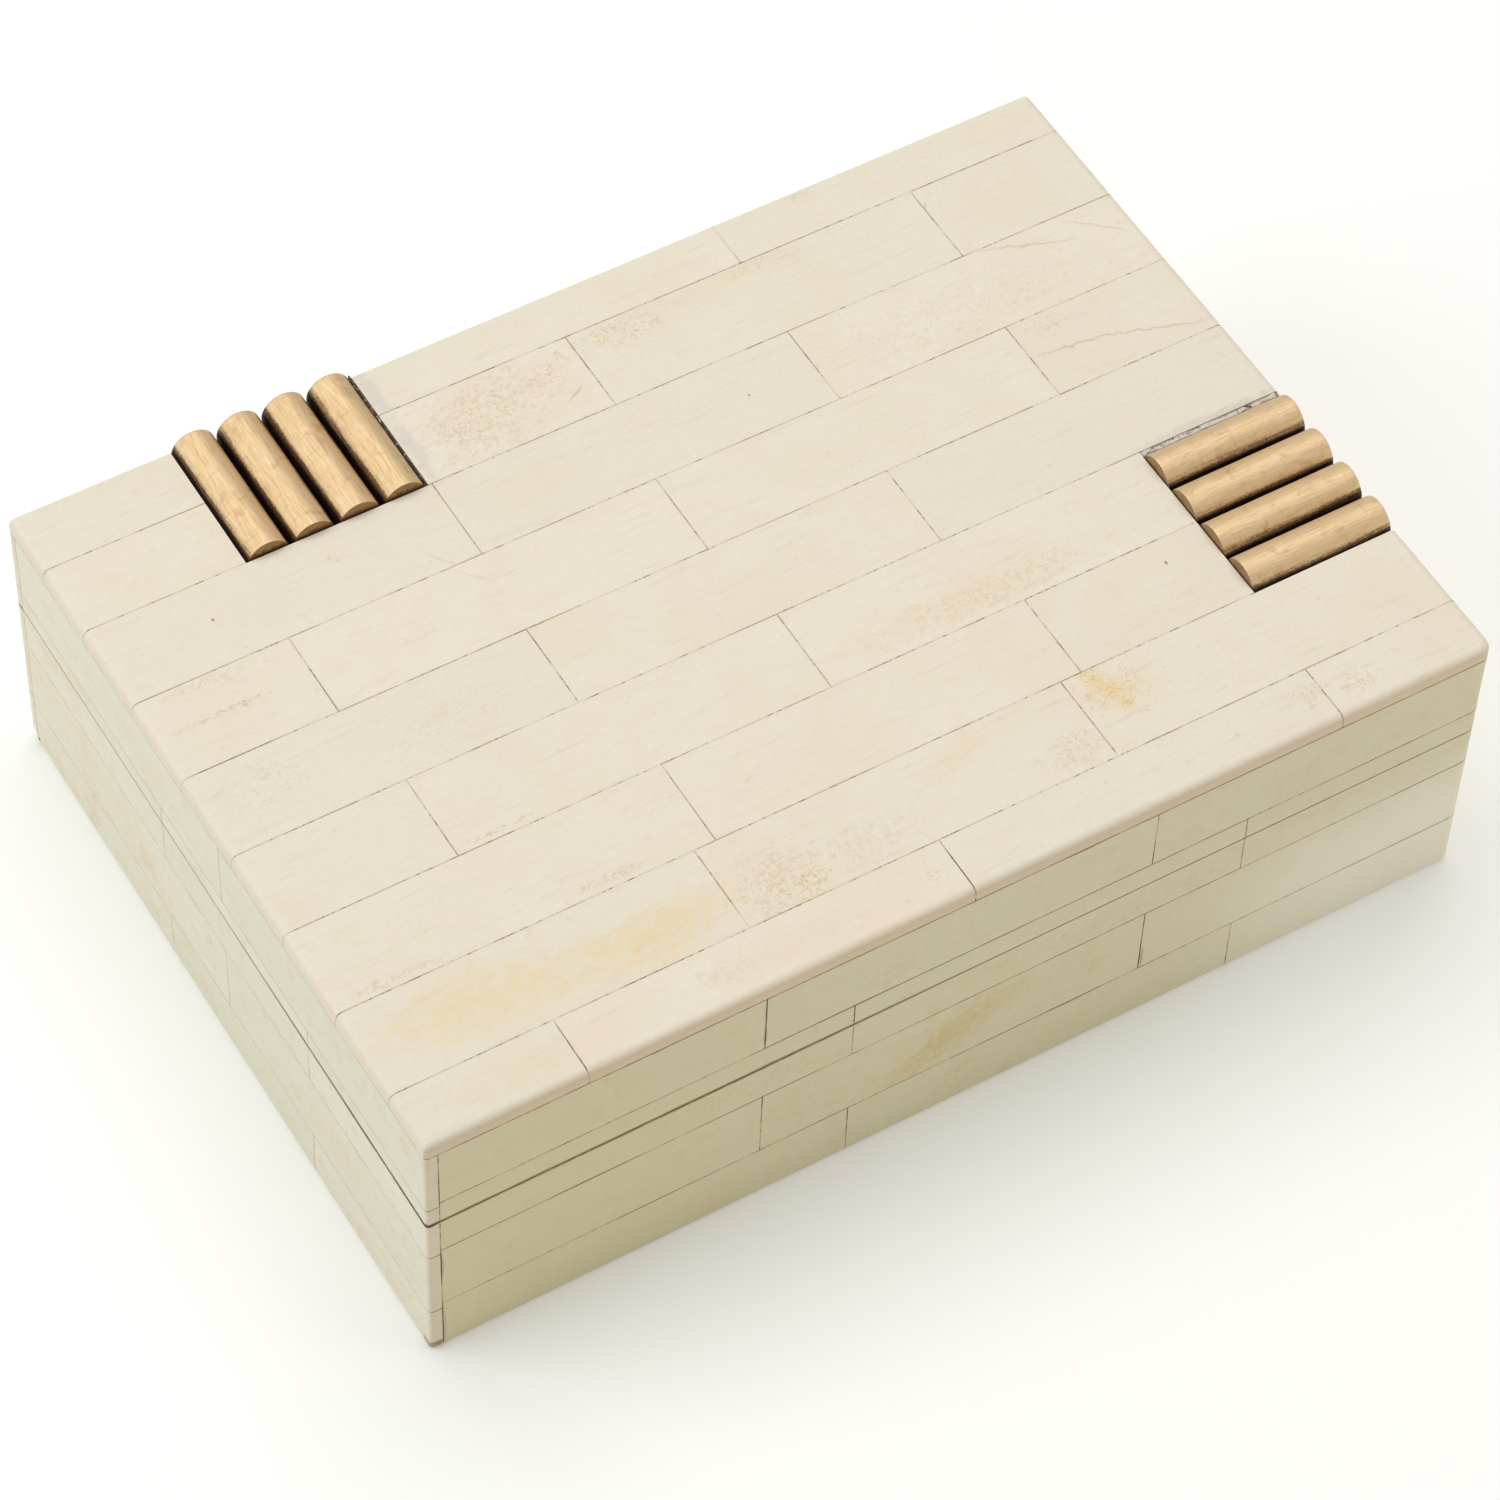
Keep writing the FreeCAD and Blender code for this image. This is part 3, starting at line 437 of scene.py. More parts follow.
def withSplitShadeAndGrime(tree, name, run, colour, place, axes, normal):
    # painted shade and grime in the split between lid and base: dark on the faces that meet across it and in a
    # thin band beside it, worst at the front left corner
    share = 0.35
    if "front" in name:
        share = ranged(tree, axes[run], 12.0, -45.0, 0.0, 1.0)
    elif "left" in name:
        share = ranged(tree, axes[run], 10.0, -60.0, 0.1, 0.8)
    fromSplit = calc(tree, "ABSOLUTE", calc(tree, "SUBTRACT", axes[2], splitHeight))
    sawn = ranged(tree, calc(tree, "ABSOLUTE", normal[2]), 0.5, 0.8)
    near = ranged(tree, fromSplit, *bone["splitBand"])
    outer = (halfDepth if run == 0 else halfLength) - bone["shadeAndGrimeDepth"]
    reached = ranged(tree, calc(tree, "ABSOLUTE", axes[1 - run]), outer - bone["shadeAndGrimeFade"], outer)
    colour = mixed(tree, product(tree, sawn, near, reached, share), colour, bone["shadeAndGrime"])
    ragged = product(tree, cloud(tree, place, 0.25, 5.0, 0.7), 0.7)
    spread = ranged(tree, calc(tree, "SUBTRACT", fromSplit, ragged), bone["shadeAndGrimeSpread"], 0.0)
    return mixed(tree, product(tree, spread, share), colour, bone["shadeAndGrime"])


# wear and patches on the walls, with painted shade and painted bounce light on the front
def withWallWearAndPaintedLight(tree, name, colour, cut, along, height):
    if name == "bone_base_left_row_3":      # the worn brown foot of the front left corner
        cornerStart = bone["wallThickness"] - halfDepth
        atCorner = ranged(tree, along, cornerStart + 0.1, cornerStart - 0.1)
        foot = product(tree, atCorner, ranged(tree, height, *bone["footHeight"]), 0.75)
        colour = mixed(tree, foot, colour, bone["foot"])
    patches = ranged(tree, cloud(tree, cut, 0.22, 4.0, 0.65, 1.0), 0.48, 0.70, 0.0, 0.5)
    colour = mixed(tree, patches, colour, bone["patch"])
    specks = ranged(tree, cloud(tree, cut, 1.6, 4.0, 0.7, 0.6), 0.64, 0.72, 0.0, 0.45)
    colour = mixed(tree, specks, colour, bone["pore"])
    if "front" in name:
        # painted shade: a yellow tint of shade, most on the left; and painted bounce light: paler low down
        # towards the right
        pale = product(tree, ranged(tree, along, 30.0, 72.0), ranged(tree, height, 34.0, 12.0))
        leftwards = ranged(tree, along, -10.0, -70.0, 0.46, 0.60)
        shadeYellowing = calc(tree, "SUBTRACT", leftwards, product(tree, pale, 0.35))
        colour = mixed(tree, shadeYellowing, colour, bone["shadeYellow"])
        colour = mixed(tree, product(tree, pale, 0.65), colour, bone["bounceLightPale"])
    return colour


def boneMaterial(name):
    made, tree, shader, place = newMaterial(name)
    onTop, run = "top" in name, runOf(name)
    axes, normal = split(tree, place), facing(tree)
    along, across = axes[run], axes[1 if onTop else 2]
    dice, cut = slipVariation(tree, name, run, along, place)
    colour, fibre, fine = groundColour(tree, run, onTop, dice, cut)
    colour = withFigures(tree, name, colour, place, along, across)
    # sawn ends are warmer
    most = 0.15 if "back" in name or onTop else 0.5
    endOn = ranged(tree, calc(tree, "ABSOLUTE", normal[run]), 0.6, 0.95, 0.0, most)
    colour = mixed(tree, endOn, colour, bone["endGrain"])
    if onTop:
        colour = withRim(tree, colour, axes[2], normal)
    else:
        colour = withSplitShadeAndGrime(tree, name, run, colour, place, axes, normal)
        colour = withWallWearAndPaintedLight(tree, name, colour, cut, along, axes[2])
    tree.links.new(colour, shader.inputs["Base Color"])

    polish = ranged(tree, fibre, 0.3, 0.8, bone["roughness"] - 0.06, bone["roughness"] + 0.10)
    tree.links.new(polish, shader.inputs["Roughness"])
    shader.inputs["Specular IOR Level"].default_value = bone["specular"]
    shader.inputs["Subsurface Weight"].default_value = bone["glow"]
    shader.inputs["Subsurface Radius"].default_value = bone["glowTint"]
    shader.inputs["Subsurface Scale"].default_value = bone["glowDepth"]
    bumped(tree, shader, calc(tree, "ADD", fibre, product(tree, fine, 0.4)), 0.5, bone["grainDepth"])
    return made


for name in boneRows:
    paint(name, boneMaterial(name))
print("bone materials done")


# filler in the joints: a strip for every gap between two slips, a little below the surface
filler = {
    "narrowest": 0.05 * mm,
    "widest": 0.5 * mm,
    "bridge": 0.35 * mm,
    "sameLine": 0.03 * mm,
    "sunk": 0.008 * mm,
    "nearOutside": 0.1 * mm,
    "lidEdge": 1.3 * mm,
    "footEdge": 0.5 * mm,
    "corner": 0.7 * mm,
    "handledCorner": 2.2 * mm,
    "topPale": screen(224, 209, 186),
    "topBrown": screen(190, 162, 132),
    "topBits": screen(112, 80, 54),
    "wallPale": screen(204, 182, 134),
    "wallBrown": screen(124, 92, 50),
    "wallBits": screen(56, 36, 18),
    "leftWall": screen(216, 208, 182),
    "dark": screen(48, 32, 20),
    "roughness": 0.8,
}
# places where the filler is dark: centre and half size in mm on the box, and strength
darkJoints = [
    ((-34.7, -64, 43.6), (1.2, 2, 6.4), 0.9), ((-2, -64, 37.3), (33, 2, 1), 0.5),
    ((18, -64, 49.4), (6, 2, 1), 0.9), ((-53, -64, 49.4), (5, 2, 1), 0.8),
    ((30.5, -64, 15), (1.2, 2, 4), 1.0), ((-62, -64, 25.1), (8, 2, 1), 0.8),
    ((19, -64, 11.3), (5, 2, 1), 0.8), ((-86.9, -64, 21), (1, 2, 4), 0.9),
    ((-86.9, -64, 6), (1, 2, 6), 0.7), ((-80, 23.65, 52), (9, 1, 1), 0.35),
    ((-80, 8.15, 52), (9, 1, 1), 0.4), ((-63.3, -59, 52), (1, 5, 1), 0.5),
    ((12, -64, 49.4), (60, 2, 0.8), 0.35), ((-0.3, -60, 52), (1, 4, 1), 0.7),
    ((-63.5, 13, 52), (1, 5, 1), 0.5), ((-32, 31, 52), (1, 8, 1), 0.3),
]


def gapsBetween(solids):
    # axis of the gap, and its low and high corner, for each pair that faces across a joint
    found = []
    for i, (lowA, highA) in enumerate(solids):
        for lowB, highB in solids[i + 1:]:
            for axis in range(3):
                others = [k for k in range(3) if k != axis]
                low = Vector([max(lowA[k], lowB[k]) for k in range(3)])
                high = Vector([min(highA[k], highB[k]) for k in range(3)])
                if any(high[k] - low[k] < filler["narrowest"] for k in others):
                    continue
                start, end = high[axis], low[axis]
                if filler["narrowest"] < end - start < filler["widest"]:
                    low[axis], high[axis] = start, end
                    found.append((axis, low, high))
    return found


def joinedUp(gaps):
    # strips that go on from one another in a line become one
    done, near, bridge = [], filler["sameLine"], filler["bridge"]
    for axis, low, high in sorted(gaps, key=lambda gap: (gap[0], *[round(v, 5) for v in gap[1]])):
        for strip in done:
            start, end = strip[1:]
            apart = [k for k in range(3) if abs(start[k] - low[k]) >= near or abs(end[k] - high[k]) >= near]
            if strip[0] != axis or len(apart) != 1 or apart[0] == axis:
                continue
            k = apart[0]
            if low[k] - end[k] < bridge and start[k] - high[k] < bridge:
                start[k], end[k] = min(start[k], low[k]), max(end[k], high[k])
                break
        else:
            done.append((axis, low.copy(), high.copy()))
    return done


def edgeRounding(edge, low, high, topEdge, footEdge):
    # the radius of the box where an edge of a strip lies on the box's own edge, or None
    middle, near = (edge.verts[0].co + edge.verts[1].co) / 2, filler["nearOutside"]
    outer = sum(min(abs(middle[k] - low[k]), abs(middle[k] - high[k])) < near for k in range(2))
    if outer == 2:
        return filler["handledCorner"] if middle.x > 0 > middle.y else filler["corner"]
    if outer and abs(middle.z - high.z) < near:
        return topEdge
    if outer and abs(middle.z - low.z) < near:
        return footEdge
    return None


def fillerPiece(name, body, rows, topEdge, footEdge):
    strips = joinedUp(joinedUp(gapsBetween([slip for row in rows for slip in slips[row]])))
    low, high = outsideOf(rows)
    shape = bmesh.new()
    for axis, start, end in strips:
        for k in range(3):
            if k != axis:
                start[k] = max(start[k], low[k] + filler["sunk"])
                end[k] = min(end[k], high[k] - filler["sunk"])
        rounding = {}
        for edge in {edge for vert in block(shape, start, end) for edge in vert.link_edges}:
            radius = edgeRounding(edge, low, high, topEdge, footEdge)
            if radius:
                rounding.setdefault(radius, []).append(edge)
        for radius, edges in rounding.items():
            rounded(shape, edges, radius, 5)
    newPiece(name, shape, jointFiller, body, smooth=False)
    print(f"{name}: {len(strips)} strips")


def fillerMaterial():
    made, tree, shader, place = newMaterial("jointFiller")
    axes = split(tree, place)
    onWall = ranged(tree, axes[2], panelTop + 0.3, panelTop)
    shade = ranged(tree, cloud(tree, place, 0.09, 5.0, 0.7), 0.42, 0.60)
    pale = mixed(tree, onWall, filler["topPale"], filler["wallPale"])
    brown = mixed(tree, onWall, filler["topBrown"], filler["wallBrown"])
    colour = mixed(tree, shade, pale, brown)
    bits = ranged(tree, cloud(tree, place, 0.7, 4.0, 0.7), 0.53, 0.59)
    dark = mixed(tree, onWall, filler["topBits"], filler["wallBits"])
    colour = mixed(tree, product(tree, bits, 0.65), colour, dark)
    # fainter on the left wall
    leftFace = ranged(tree, axes[0], 0.4 - halfLength, 0.1 - halfLength, 0.0, 0.6)
    colour = mixed(tree, leftFace, colour, filler["leftWall"])
    for centre, reach, strength in darkJoints:
        near = ranged(tree, remoteness(tree, place, centre, reach), 1.1, 0.7)
        colour = mixed(tree, product(tree, near, 0.95 * strength), colour, filler["dark"])
    tree.links.new(colour, shader.inputs["Base Color"])
    shader.inputs["Roughness"].default_value = filler["roughness"]
    return made


jointFiller = fillerMaterial()
fillerPiece("lid_joint_filler", "lid", lidRows, filler["lidEdge"], None)
fillerPiece("base_joint_filler", "base", baseRows, None, filler["footEdge"])


# wood of the carcass: brown, with the grain along each board
wood = {
    "pale": screen(172, 128, 86),
    "dark": screen(128, 88, 54),
    "pore": screen(84, 54, 32),
    # painted shade for the panel's top face between the rods
    "stain": screen(44, 28, 16),
    "roughness": 0.62,
    "grainDepth": 0.05 * mm,
}


def woodMaterial(name, run):
    made, tree, shader, place = newMaterial(name)
    grain = stretched(tree, place, alongRun(run, 0.06))
    bands = cloud(tree, grain, 0.28, 4.0, 0.6, 1.2)
    colour = mixed(tree, ranged(tree, bands, 0.35, 0.68), wood["pale"], wood["dark"])
    lines = cloud(tree, grain, 2.6, 5.0, 0.6)
    colour = mixed(tree, ranged(tree, lines, 0.52, 0.75, 0.0, 0.6), colour, wood["pore"])
    if name == "lidPanelWood":      # the bare recesses under the rods are darkened with painted shade
        height = split(tree, place)[2]
        recessShade = ranged(tree, height, panelTop - 0.5, panelTop - 0.1, 0.0, 0.85)
        colour = mixed(tree, recessShade, colour, wood["stain"])
    tree.links.new(colour, shader.inputs["Base Color"])
    shader.inputs["Roughness"].default_value = wood["roughness"]
    bumped(tree, shader, lines, 0.5, wood["grainDepth"])
    return made


lengthGrain, depthGrain = woodMaterial("woodAlong", 0), woodMaterial("woodDeep", 1)
for name in nodes:
    if name.endswith(("_board", "_rail", "_panel")):
        paint(name, lengthGrain if runOf(name) == 0 else depthGrain)
paint("lid_top_panel", woodMaterial("lidPanelWood", 0))


# half-round brass rods: brushed along their length, dark low down with patina and painted shade
rod = {
    "count": 4,
    "sides": 56,
    "cuts": 70,
    "endBevel": 0.18 * mm,
    "flank": 1.0 * mm,
    "wander": 0.035 * mm,
    "waves": 260,       # for each metre
    "dents": 3,
    "dent": 0.07 * mm,
    "bright": screen(236, 210, 170),
    "gold": screen(224, 194, 148),
    "warm": screen(178, 134, 80),
    "brown": screen(98, 58, 22),
    "black": screen(40, 20, 8),
    "sawnEnd": screen(128, 88, 42),
    "streak": screen(122, 88, 48),
    "brushDepth": 0.03 * mm,
}


def brassMaterial(name, run):
    made, tree, shader, place = newMaterial(name)
    brushing = stretched(tree, place, alongRun(run, 0.05))
    brushed = cloud(tree, brushing, 5.5, 5.0, 0.6)
    patches = cloud(tree, place, 0.35, 4.0, 0.6, 0.8)
    chatter = cloud(tree, stretched(tree, place, alongRun(run, 2.2, 0.25)), 1.0, 3.0, 0.6)
    colour = mixed(tree, ranged(tree, brushed, 0.38, 0.66), rod["bright"], rod["gold"])
    colour = mixed(tree, ranged(tree, patches, 0.52, 0.75, 0.0, 0.35), colour, rod["warm"])
    colour = mixed(tree, ranged(tree, chatter, 0.56, 0.70, 0.0, 0.15), colour, rod["warm"])
    # patina and painted shade in the valleys between the rods, darker towards the bottom, and set lower on the
    # rods at the end
    ragged = swung(tree, cloud(tree, brushing, 1.2, 5.0, 0.7), 2.4)
    crumbs = swung(tree, cloud(tree, place, 2.4, 3.0, 0.7), 1.1)
    level = calc(tree, "ADD", split(tree, place)[2], calc(tree, "ADD", ragged, crumbs))
    top = lidTop - 0.25 if run == 0 else lidTop
    colour = mixed(tree, ranged(tree, level, top + 1.0, top + 0.2, 0.0, 0.85), colour, rod["brown"])
    colour = mixed(tree, ranged(tree, level, top + 0.3, top - 0.3), colour, rod["black"])
    sawn = ranged(tree, calc(tree, "ABSOLUTE", facing(tree)[run]), 0.5, 0.9, 0.0, 0.7)
    colour = mixed(tree, sawn, colour, rod["sawnEnd"])
    streaks = ranged(tree, cloud(tree, brushing, 1.7, 3.0, 0.6), 0.62, 0.74, 0.0, 0.3)
    colour = mixed(tree, streaks, colour, rod["streak"])
    tree.links.new(colour, shader.inputs["Base Color"])
    metal = ranged(tree, level, lidTop - 0.8, lidTop + 0.4, 0.2, 0.65 if run == 0 else 0.85)
    tree.links.new(metal, shader.inputs["Metallic"])
    tree.links.new(ranged(tree, brushed, 0.3, 0.75, 0.54, 0.66), shader.inputs["Roughness"])
    relief = calc(tree, "ADD", brushed, product(tree, chatter, 0.5))
    bumped(tree, shader, relief, 0.6, rod["brushDepth"])
    return made


def rodShape(radius, length):
    # a half-round bar that stands on its end
    shape = bmesh.new()
    ring = bmesh.ops.create_circle(shape, cap_ends=True, segments=rod["sides"], radius=radius)["verts"]
    for vert in ring:                # the lower half is pressed flat
        if vert.co.y < -touching:
            vert.co.y = -rod["flank"]
    pulled = bmesh.ops.extrude_face_region(shape, geom=list(shape.faces))["geom"]
    far = [v for v in pulled if isinstance(v, bmesh.types.BMVert)]
    bmesh.ops.translate(shape, vec=(0, 0, length), verts=far)
    bmesh.ops.recalc_face_normals(shape, faces=shape.faces)
    rims = [e for e in shape.edges if abs(e.verts[0].co.z - e.verts[1].co.z) < touching]
    rounded(shape, rims, rod["endBevel"], 3)
    upright = [e for e in shape.edges if abs(e.verts[0].co.z - e.verts[1].co.z) > length / 2]
    bmesh.ops.subdivide_edges(shape, edges=upright, cuts=rod["cuts"], use_grid_fill=True)
    return shape


def laidDown(shape, run, start, middle, foot):
    # as it lies in the recess: along the run, flat side down
    if run == 1:
        turn = Matrix(((1, 0, 0), (0, 0, 1), (0, 1, 0)))
    else:
        turn = Matrix(((0, 0, 1), (1, 0, 0), (0, 1, 0)))
    bmesh.ops.transform(shape, matrix=turn.to_4x4(), verts=shape.verts)
    offset = Vector((0, 0, foot + rod["flank"]))
    offset[run], offset[1 - run] = start, middle
    bmesh.ops.translate(shape, vec=offset, verts=shape.verts)
    bmesh.ops.recalc_face_normals(shape, faces=shape.faces)
    shape.normal_update()


def rodPiece(node, run, material):
    low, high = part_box(node)
    cross = 1 - run
    length, radius = high[run] - low[run], (high[cross] - low[cross]) / 2
    middle = (low[cross] + high[cross]) / 2
    shape = rodShape(radius, length)
    laidDown(shape, run, low[run], middle, low.z)
    dents = [
        (low[run] + length * random.uniform(0.1, 0.9), random.uniform(-0.8, 0.8), random.uniform(0.4, 1.1))
        for _ in range(rod["dents"])
    ]
    for vert in shape.verts:
        if vert.co.z < low.z + rod["flank"] * 0.9:
            continue
        inwards = -vert.normal
        sunk = rod["wander"] * (0.5 + 0.5 * field.noise(vert.co * rod["waves"]))
        for where, side, reach in dents:
            lengthwise = (vert.co[run] - where) / (reach * mm)
            crosswise = (vert.co[cross] - middle) / (radius * 0.5) - side
            sunk += rod["dent"] * max(0.0, 1 - math.hypot(lengthwise, crosswise)) ** 2
        vert.co += inwards * sunk
    piece = newPiece(node.replace("brass_", "") + "_brass", shape, material, "lid")
    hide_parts(node)


brassDeep, brassAlong = brassMaterial("rodBrassDeep", 1), brassMaterial("rodBrassAlong", 0)
for number in range(1, rod["count"] + 1):
    rodPiece(f"brass_rod_back_{number}", 1, brassDeep)
    rodPiece(f"brass_rod_end_{number}", 0, brassAlong)
print("rods done")


# white filler left in the gap beside a group of rods, uneven along its length, with dark blots of dirt that on
# the back residue also stand in as painted shade of the gap
bead = {
    "step": 0.35 * mm,
    "stepsAcross": 5,
    "below": 0.25 * mm,
    "lumps": 0.22 * mm,
    "white": screen(214, 208, 200),
    "dust": screen(168, 150, 128),
    # dirt, which on the back residue also stands in as painted shade
    "dirt": screen(44, 28, 18),
    "roughness": 0.9,
}


def gapBeside(rodNode, rows, axis):
    # from the high side of a rod to the nearest slip of those rows
    low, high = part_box(rodNode)
    low, high, start = low.copy(), high.copy(), high[axis]
    low[axis] = start
    high[axis] = min(slip[0][axis] for row in rows for slip in slips[row] if slip[0][axis] > start)
    high.z = outsideOf(rows)[1].z
    return low, high


def beadMaterial(name, dirtAndShade):
    made, tree, shader, place = newMaterial(name)
    dust = ranged(tree, cloud(tree, place, 0.5, 5.0, 0.7), 0.48, 0.62)
    colour = mixed(tree, dust, bead["white"], bead["dust"])
    # dark blots: dirt, and on the back residue, where they are set darker, painted shade of the deep gap
    blots = cloud(tree, place, 0.9, 4.0, 0.7, 1.0)
    dirt = ranged(tree, blots, 0.66 - dirtAndShade, 0.74 - dirtAndShade, 0.0, 0.9)
    tree.links.new(mixed(tree, dirt, colour, bead["dirt"]), shader.inputs["Base Color"])
    shader.inputs["Roughness"].default_value = bead["roughness"]
    return made


def residuePiece(name, low, high, dirtAndShade):
    size = high - low
    run = 0 if size.x > size.y else 1
    shape = bmesh.new()
    block(shape, low, high)
    for axis, step in ((run, bead["step"]), (1 - run, size[1 - run] / bead["stepsAcross"])):
        cutAcross(shape, axis, [low[axis] + step * cut for cut in range(1, round(size[axis] / step))])
    for vert in shape.verts:
        if abs(vert.co.z - high.z) < touching:
            place = vert.co / mm
            uneven = field.noise(place * 0.5) + 0.6 * field.noise(place * 1.9)
            vert.co.z -= bead["below"] + bead["lumps"] * uneven
    bmesh.ops.recalc_face_normals(shape, faces=shape.faces)
    newPiece(name, shape, beadMaterial(name + "White", dirtAndShade), "lid")


backRows, endRows = ["bone_top_row_1", "bone_top_row_2"], ["bone_top_row_5"]
# the back residue is darker: its blots are dirt and painted shade of the deep gap beside the last rod
residuePiece("back_rod_residue", *gapBeside("brass_rod_back_4", backRows, 0), dirtAndShade=0.28)
residuePiece("end_rod_residue", *gapBeside("brass_rod_end_1", endRows, 1), dirtAndShade=0.10)
print("residue done")


# hinges and screws
hinge = {
    "bright": screen(232, 198, 136),
    "dull": screen(204, 164, 100),
    "scratch": screen(150, 112, 62),
    "scratchDepth": 0.01 * mm,
}


def hingeMaterial():
    made, tree, shader, place = newMaterial("hingeBrass")
    patches = cloud(tree, place, 0.3, 3.0, 0.5)
    colour = mixed(tree, ranged(tree, patches, 0.4, 0.7), hinge["bright"], hinge["dull"])
    fine = cloud(tree, stretched(tree, place, alongRun(0, 0.08)), 6.0, 3.0)
    colour = mixed(tree, ranged(tree, fine, 0.6, 0.78, 0.0, 0.4), colour, hinge["scratch"])
    tree.links.new(colour, shader.inputs["Base Color"])
    shader.inputs["Metallic"].default_value = 1.0
    tree.links.new(ranged(tree, patches, 0.3, 0.7, 0.26, 0.42), shader.inputs["Roughness"])
    bumped(tree, shader, fine, 0.4, hinge["scratchDepth"])
    return made


hingeBrass = hingeMaterial()
for name in nodes:
    if name.startswith("hinge_"):
        paint(name, hingeBrass)


# velvet in the base and the lid, and felt underneath
velvet = {
    "slot": "velvet",
    "dark": screen(60, 8, 14),
    "light": screen(112, 22, 30),
    "sheen": 0.9,
    "edge": 0.45 * mm,
}
felt = {
    "slot": "felt",
    "dark": screen(24, 40, 30),
    "light": screen(52, 74, 58),
    "sheen": 0.3,
    "edge": 0.25 * mm,
}
cloth = {
    "cuts": (64, 44),
    "waves": 60,        # for each metre
    "wave": 0.12 * mm,
    "fullPile": 1.0 * mm,
    "pileDepth": 0.12 * mm,
    "sheenRoughness": 0.4,
    "roughness": 0.95,
}


def clothMaterial(name, stuff):
    made, tree, shader, place = newMaterial(name)
    # where a hand has turned the pile
    brushed = cloud(tree, stretched(tree, place, alongRun(0, 0.5)), 0.035, 2.0, 0.4)
    pile = cloud(tree, place, 3.2, 4.0, 0.75)
    turned = ranged(tree, brushed, 0.3, 0.7, 0.0, 0.35)
    share = calc(tree, "ADD", turned, ranged(tree, pile, 0.35, 0.68, 0.0, 0.65))
    tree.links.new(mixed(tree, share, stuff["dark"], stuff["light"]), shader.inputs["Base Color"])
    shader.inputs["Roughness"].default_value = cloth["roughness"]
    shader.inputs["Sheen Weight"].default_value = stuff["sheen"]
    shader.inputs["Sheen Roughness"].default_value = cloth["sheenRoughness"]
    bumped(tree, shader, pile, 0.8, cloth["pileDepth"])
    return made


def clothPiece(name, node, body, up, stuff):
    # up is 1 where the pile faces upwards and -1 where it faces down
    low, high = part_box(node)
    size = high - low
    face = high.z if up > 0 else low.z
    shape = bmesh.new()
    block(shape, low, high)
    outer = [e for e in shape.edges if all(abs(v.co.z - face) < touching for v in e.verts)]
    upright = [e for e in shape.edges if abs(e.verts[0].co.z - e.verts[1].co.z) > size.z / 2]
    rounded(shape, outer + upright, stuff["edge"], 4)
    for axis, count in enumerate(cloth["cuts"]):      # so that the face can undulate
        cutAcross(shape, axis, [low[axis] + size[axis] * step / count for step in range(1, count)])
    for vert in shape.verts:
        if abs(vert.co.z - face) < touching:
            wave = 0.5 + 0.5 * field.noise(vert.co * cloth["waves"] + Vector((3, 1, 0)))
            vert.co.z -= up * cloth["wave"] * wave * min(1.0, size.z / cloth["fullPile"])
    piece = newPiece(name, shape, clothMaterial(name + "Cloth", stuff), body)
    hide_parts(node)


clothPiece("base_velvet", "base_floor_lining", "base", 1, velvet)
clothPiece("lid_velvet", "lid_lining", "lid", -1, velvet)
clothPiece("foot_felt", "base_felt", "base", -1, felt)
print("velvet and felt done")


# studio: a pale lit floor and three soft lights, each as place, width, power and tint
studio = {
    "floor": screen(244, 244, 243),
    "floorSize": 6.0,
    "floorRoughness": 0.9,
    "floorGlow": 0.14,
    "skyStrength": 0.34,
    "lights": {
        "overheadLight": ((0.14, 0.30, 1.30), 1.30, 10.6, (1.0, 0.98, 0.95)),
        "leftLight": ((-1.10, 0.45, 0.85), 1.00, 7.1, (0.96, 1.0, 0.97)),
        "frontFill": ((0.60, -0.56, 0.22), 0.50, 0.95, (1.0, 0.86, 0.60)),
    },
}
white = (1.0, 1.0, 1.0, 1.0)


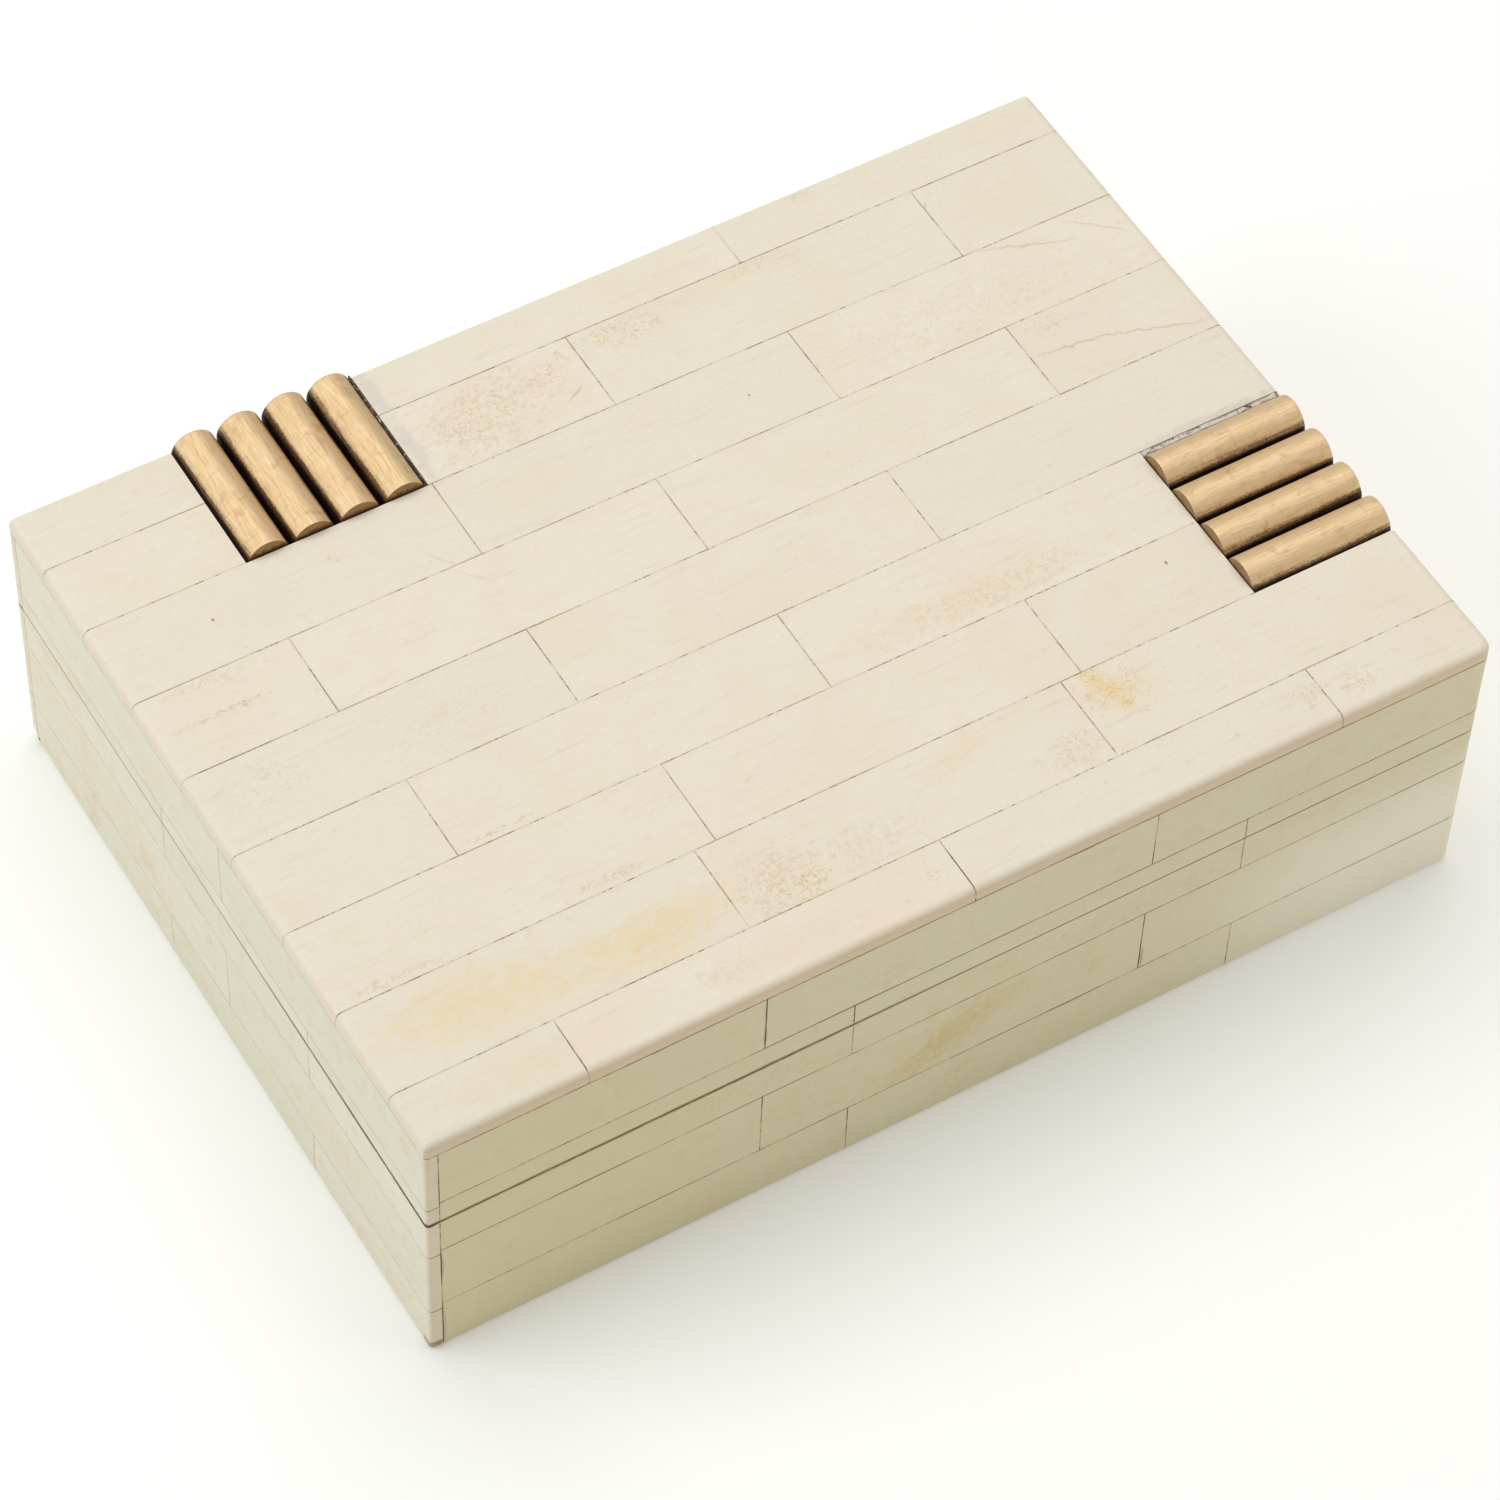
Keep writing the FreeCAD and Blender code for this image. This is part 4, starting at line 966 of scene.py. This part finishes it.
def buildFloor():
    bpy.ops.mesh.primitive_plane_add(size=studio["floorSize"], location=(0, 0, 0))
    floor = bpy.context.object
    floor.name = "floor"
    pale = bpy.data.materials.new("paleFloor")
    pale.use_nodes = True
    inputs = pale.node_tree.nodes["Principled BSDF"].inputs
    inputs["Base Color"].default_value = studio["floor"]
    inputs["Roughness"].default_value = studio["floorRoughness"]
    inputs["Emission Color"].default_value = white
    inputs["Emission Strength"].default_value = studio["floorGlow"]
    floor.data.materials.append(pale)


def buildLights():
    world = bpy.data.worlds.new("evenLight")
    world.use_nodes = True
    sky = world.node_tree.nodes["Background"]
    sky.inputs["Color"].default_value = white
    sky.inputs["Strength"].default_value = studio["skyStrength"]
    bpy.context.scene.world = world
    for name, (spot, size, power, tint) in studio["lights"].items():
        lamp = bpy.data.lights.new(name, "AREA")
        lamp.shape = "SQUARE"
        lamp.size, lamp.energy, lamp.color = size, power, tint
        light = bpy.data.objects.new(name, lamp)
        light.location = spot
        light.rotation_euler = (-Vector(spot)).to_track_quat("-Z", "Y").to_euler()
        bpy.context.scene.collection.objects.link(light)
    bpy.context.scene.view_settings.view_transform = "Standard"


# camera: turned about the box in degrees, looking down on it, with a slight roll in radians
lens = {
    "azimuth": -32.657,
    "elevation": 52.596,
    "distance": 0.8709,
    "aim": (0.00584, 0.00657, 0.0),
    "roll": 0.04428,
    "focal": 134.95,
    "sensor": 36.0,
    "clip": (0.05, 20.0),
}


def buildCamera():
    azimuth, elevation = math.radians(lens["azimuth"]), math.radians(lens["elevation"])
    level = math.cos(elevation)
    back = Vector((math.sin(azimuth) * level, -math.cos(azimuth) * level, math.sin(elevation)))
    right = (-back).cross(Vector((0, 0, 1))).normalized()
    up = right.cross(-back).normalized()
    cosine, sine = math.cos(lens["roll"]), math.sin(lens["roll"])
    across, upright = cosine * right + sine * up, cosine * up - sine * right
    data = bpy.data.cameras.new("camera")
    data.lens, data.sensor_width = lens["focal"], lens["sensor"]
    data.clip_start, data.clip_end = lens["clip"]
    camera = bpy.data.objects.new("camera", data)
    turn = Matrix((across, upright, back)).transposed().to_4x4()
    camera.matrix_world = Matrix.Translation(Vector(lens["aim"]) + lens["distance"] * back) @ turn
    bpy.context.scene.collection.objects.link(camera)
    bpy.context.scene.camera = camera


buildFloor()
buildLights()
buildCamera()
print("studio and camera done")
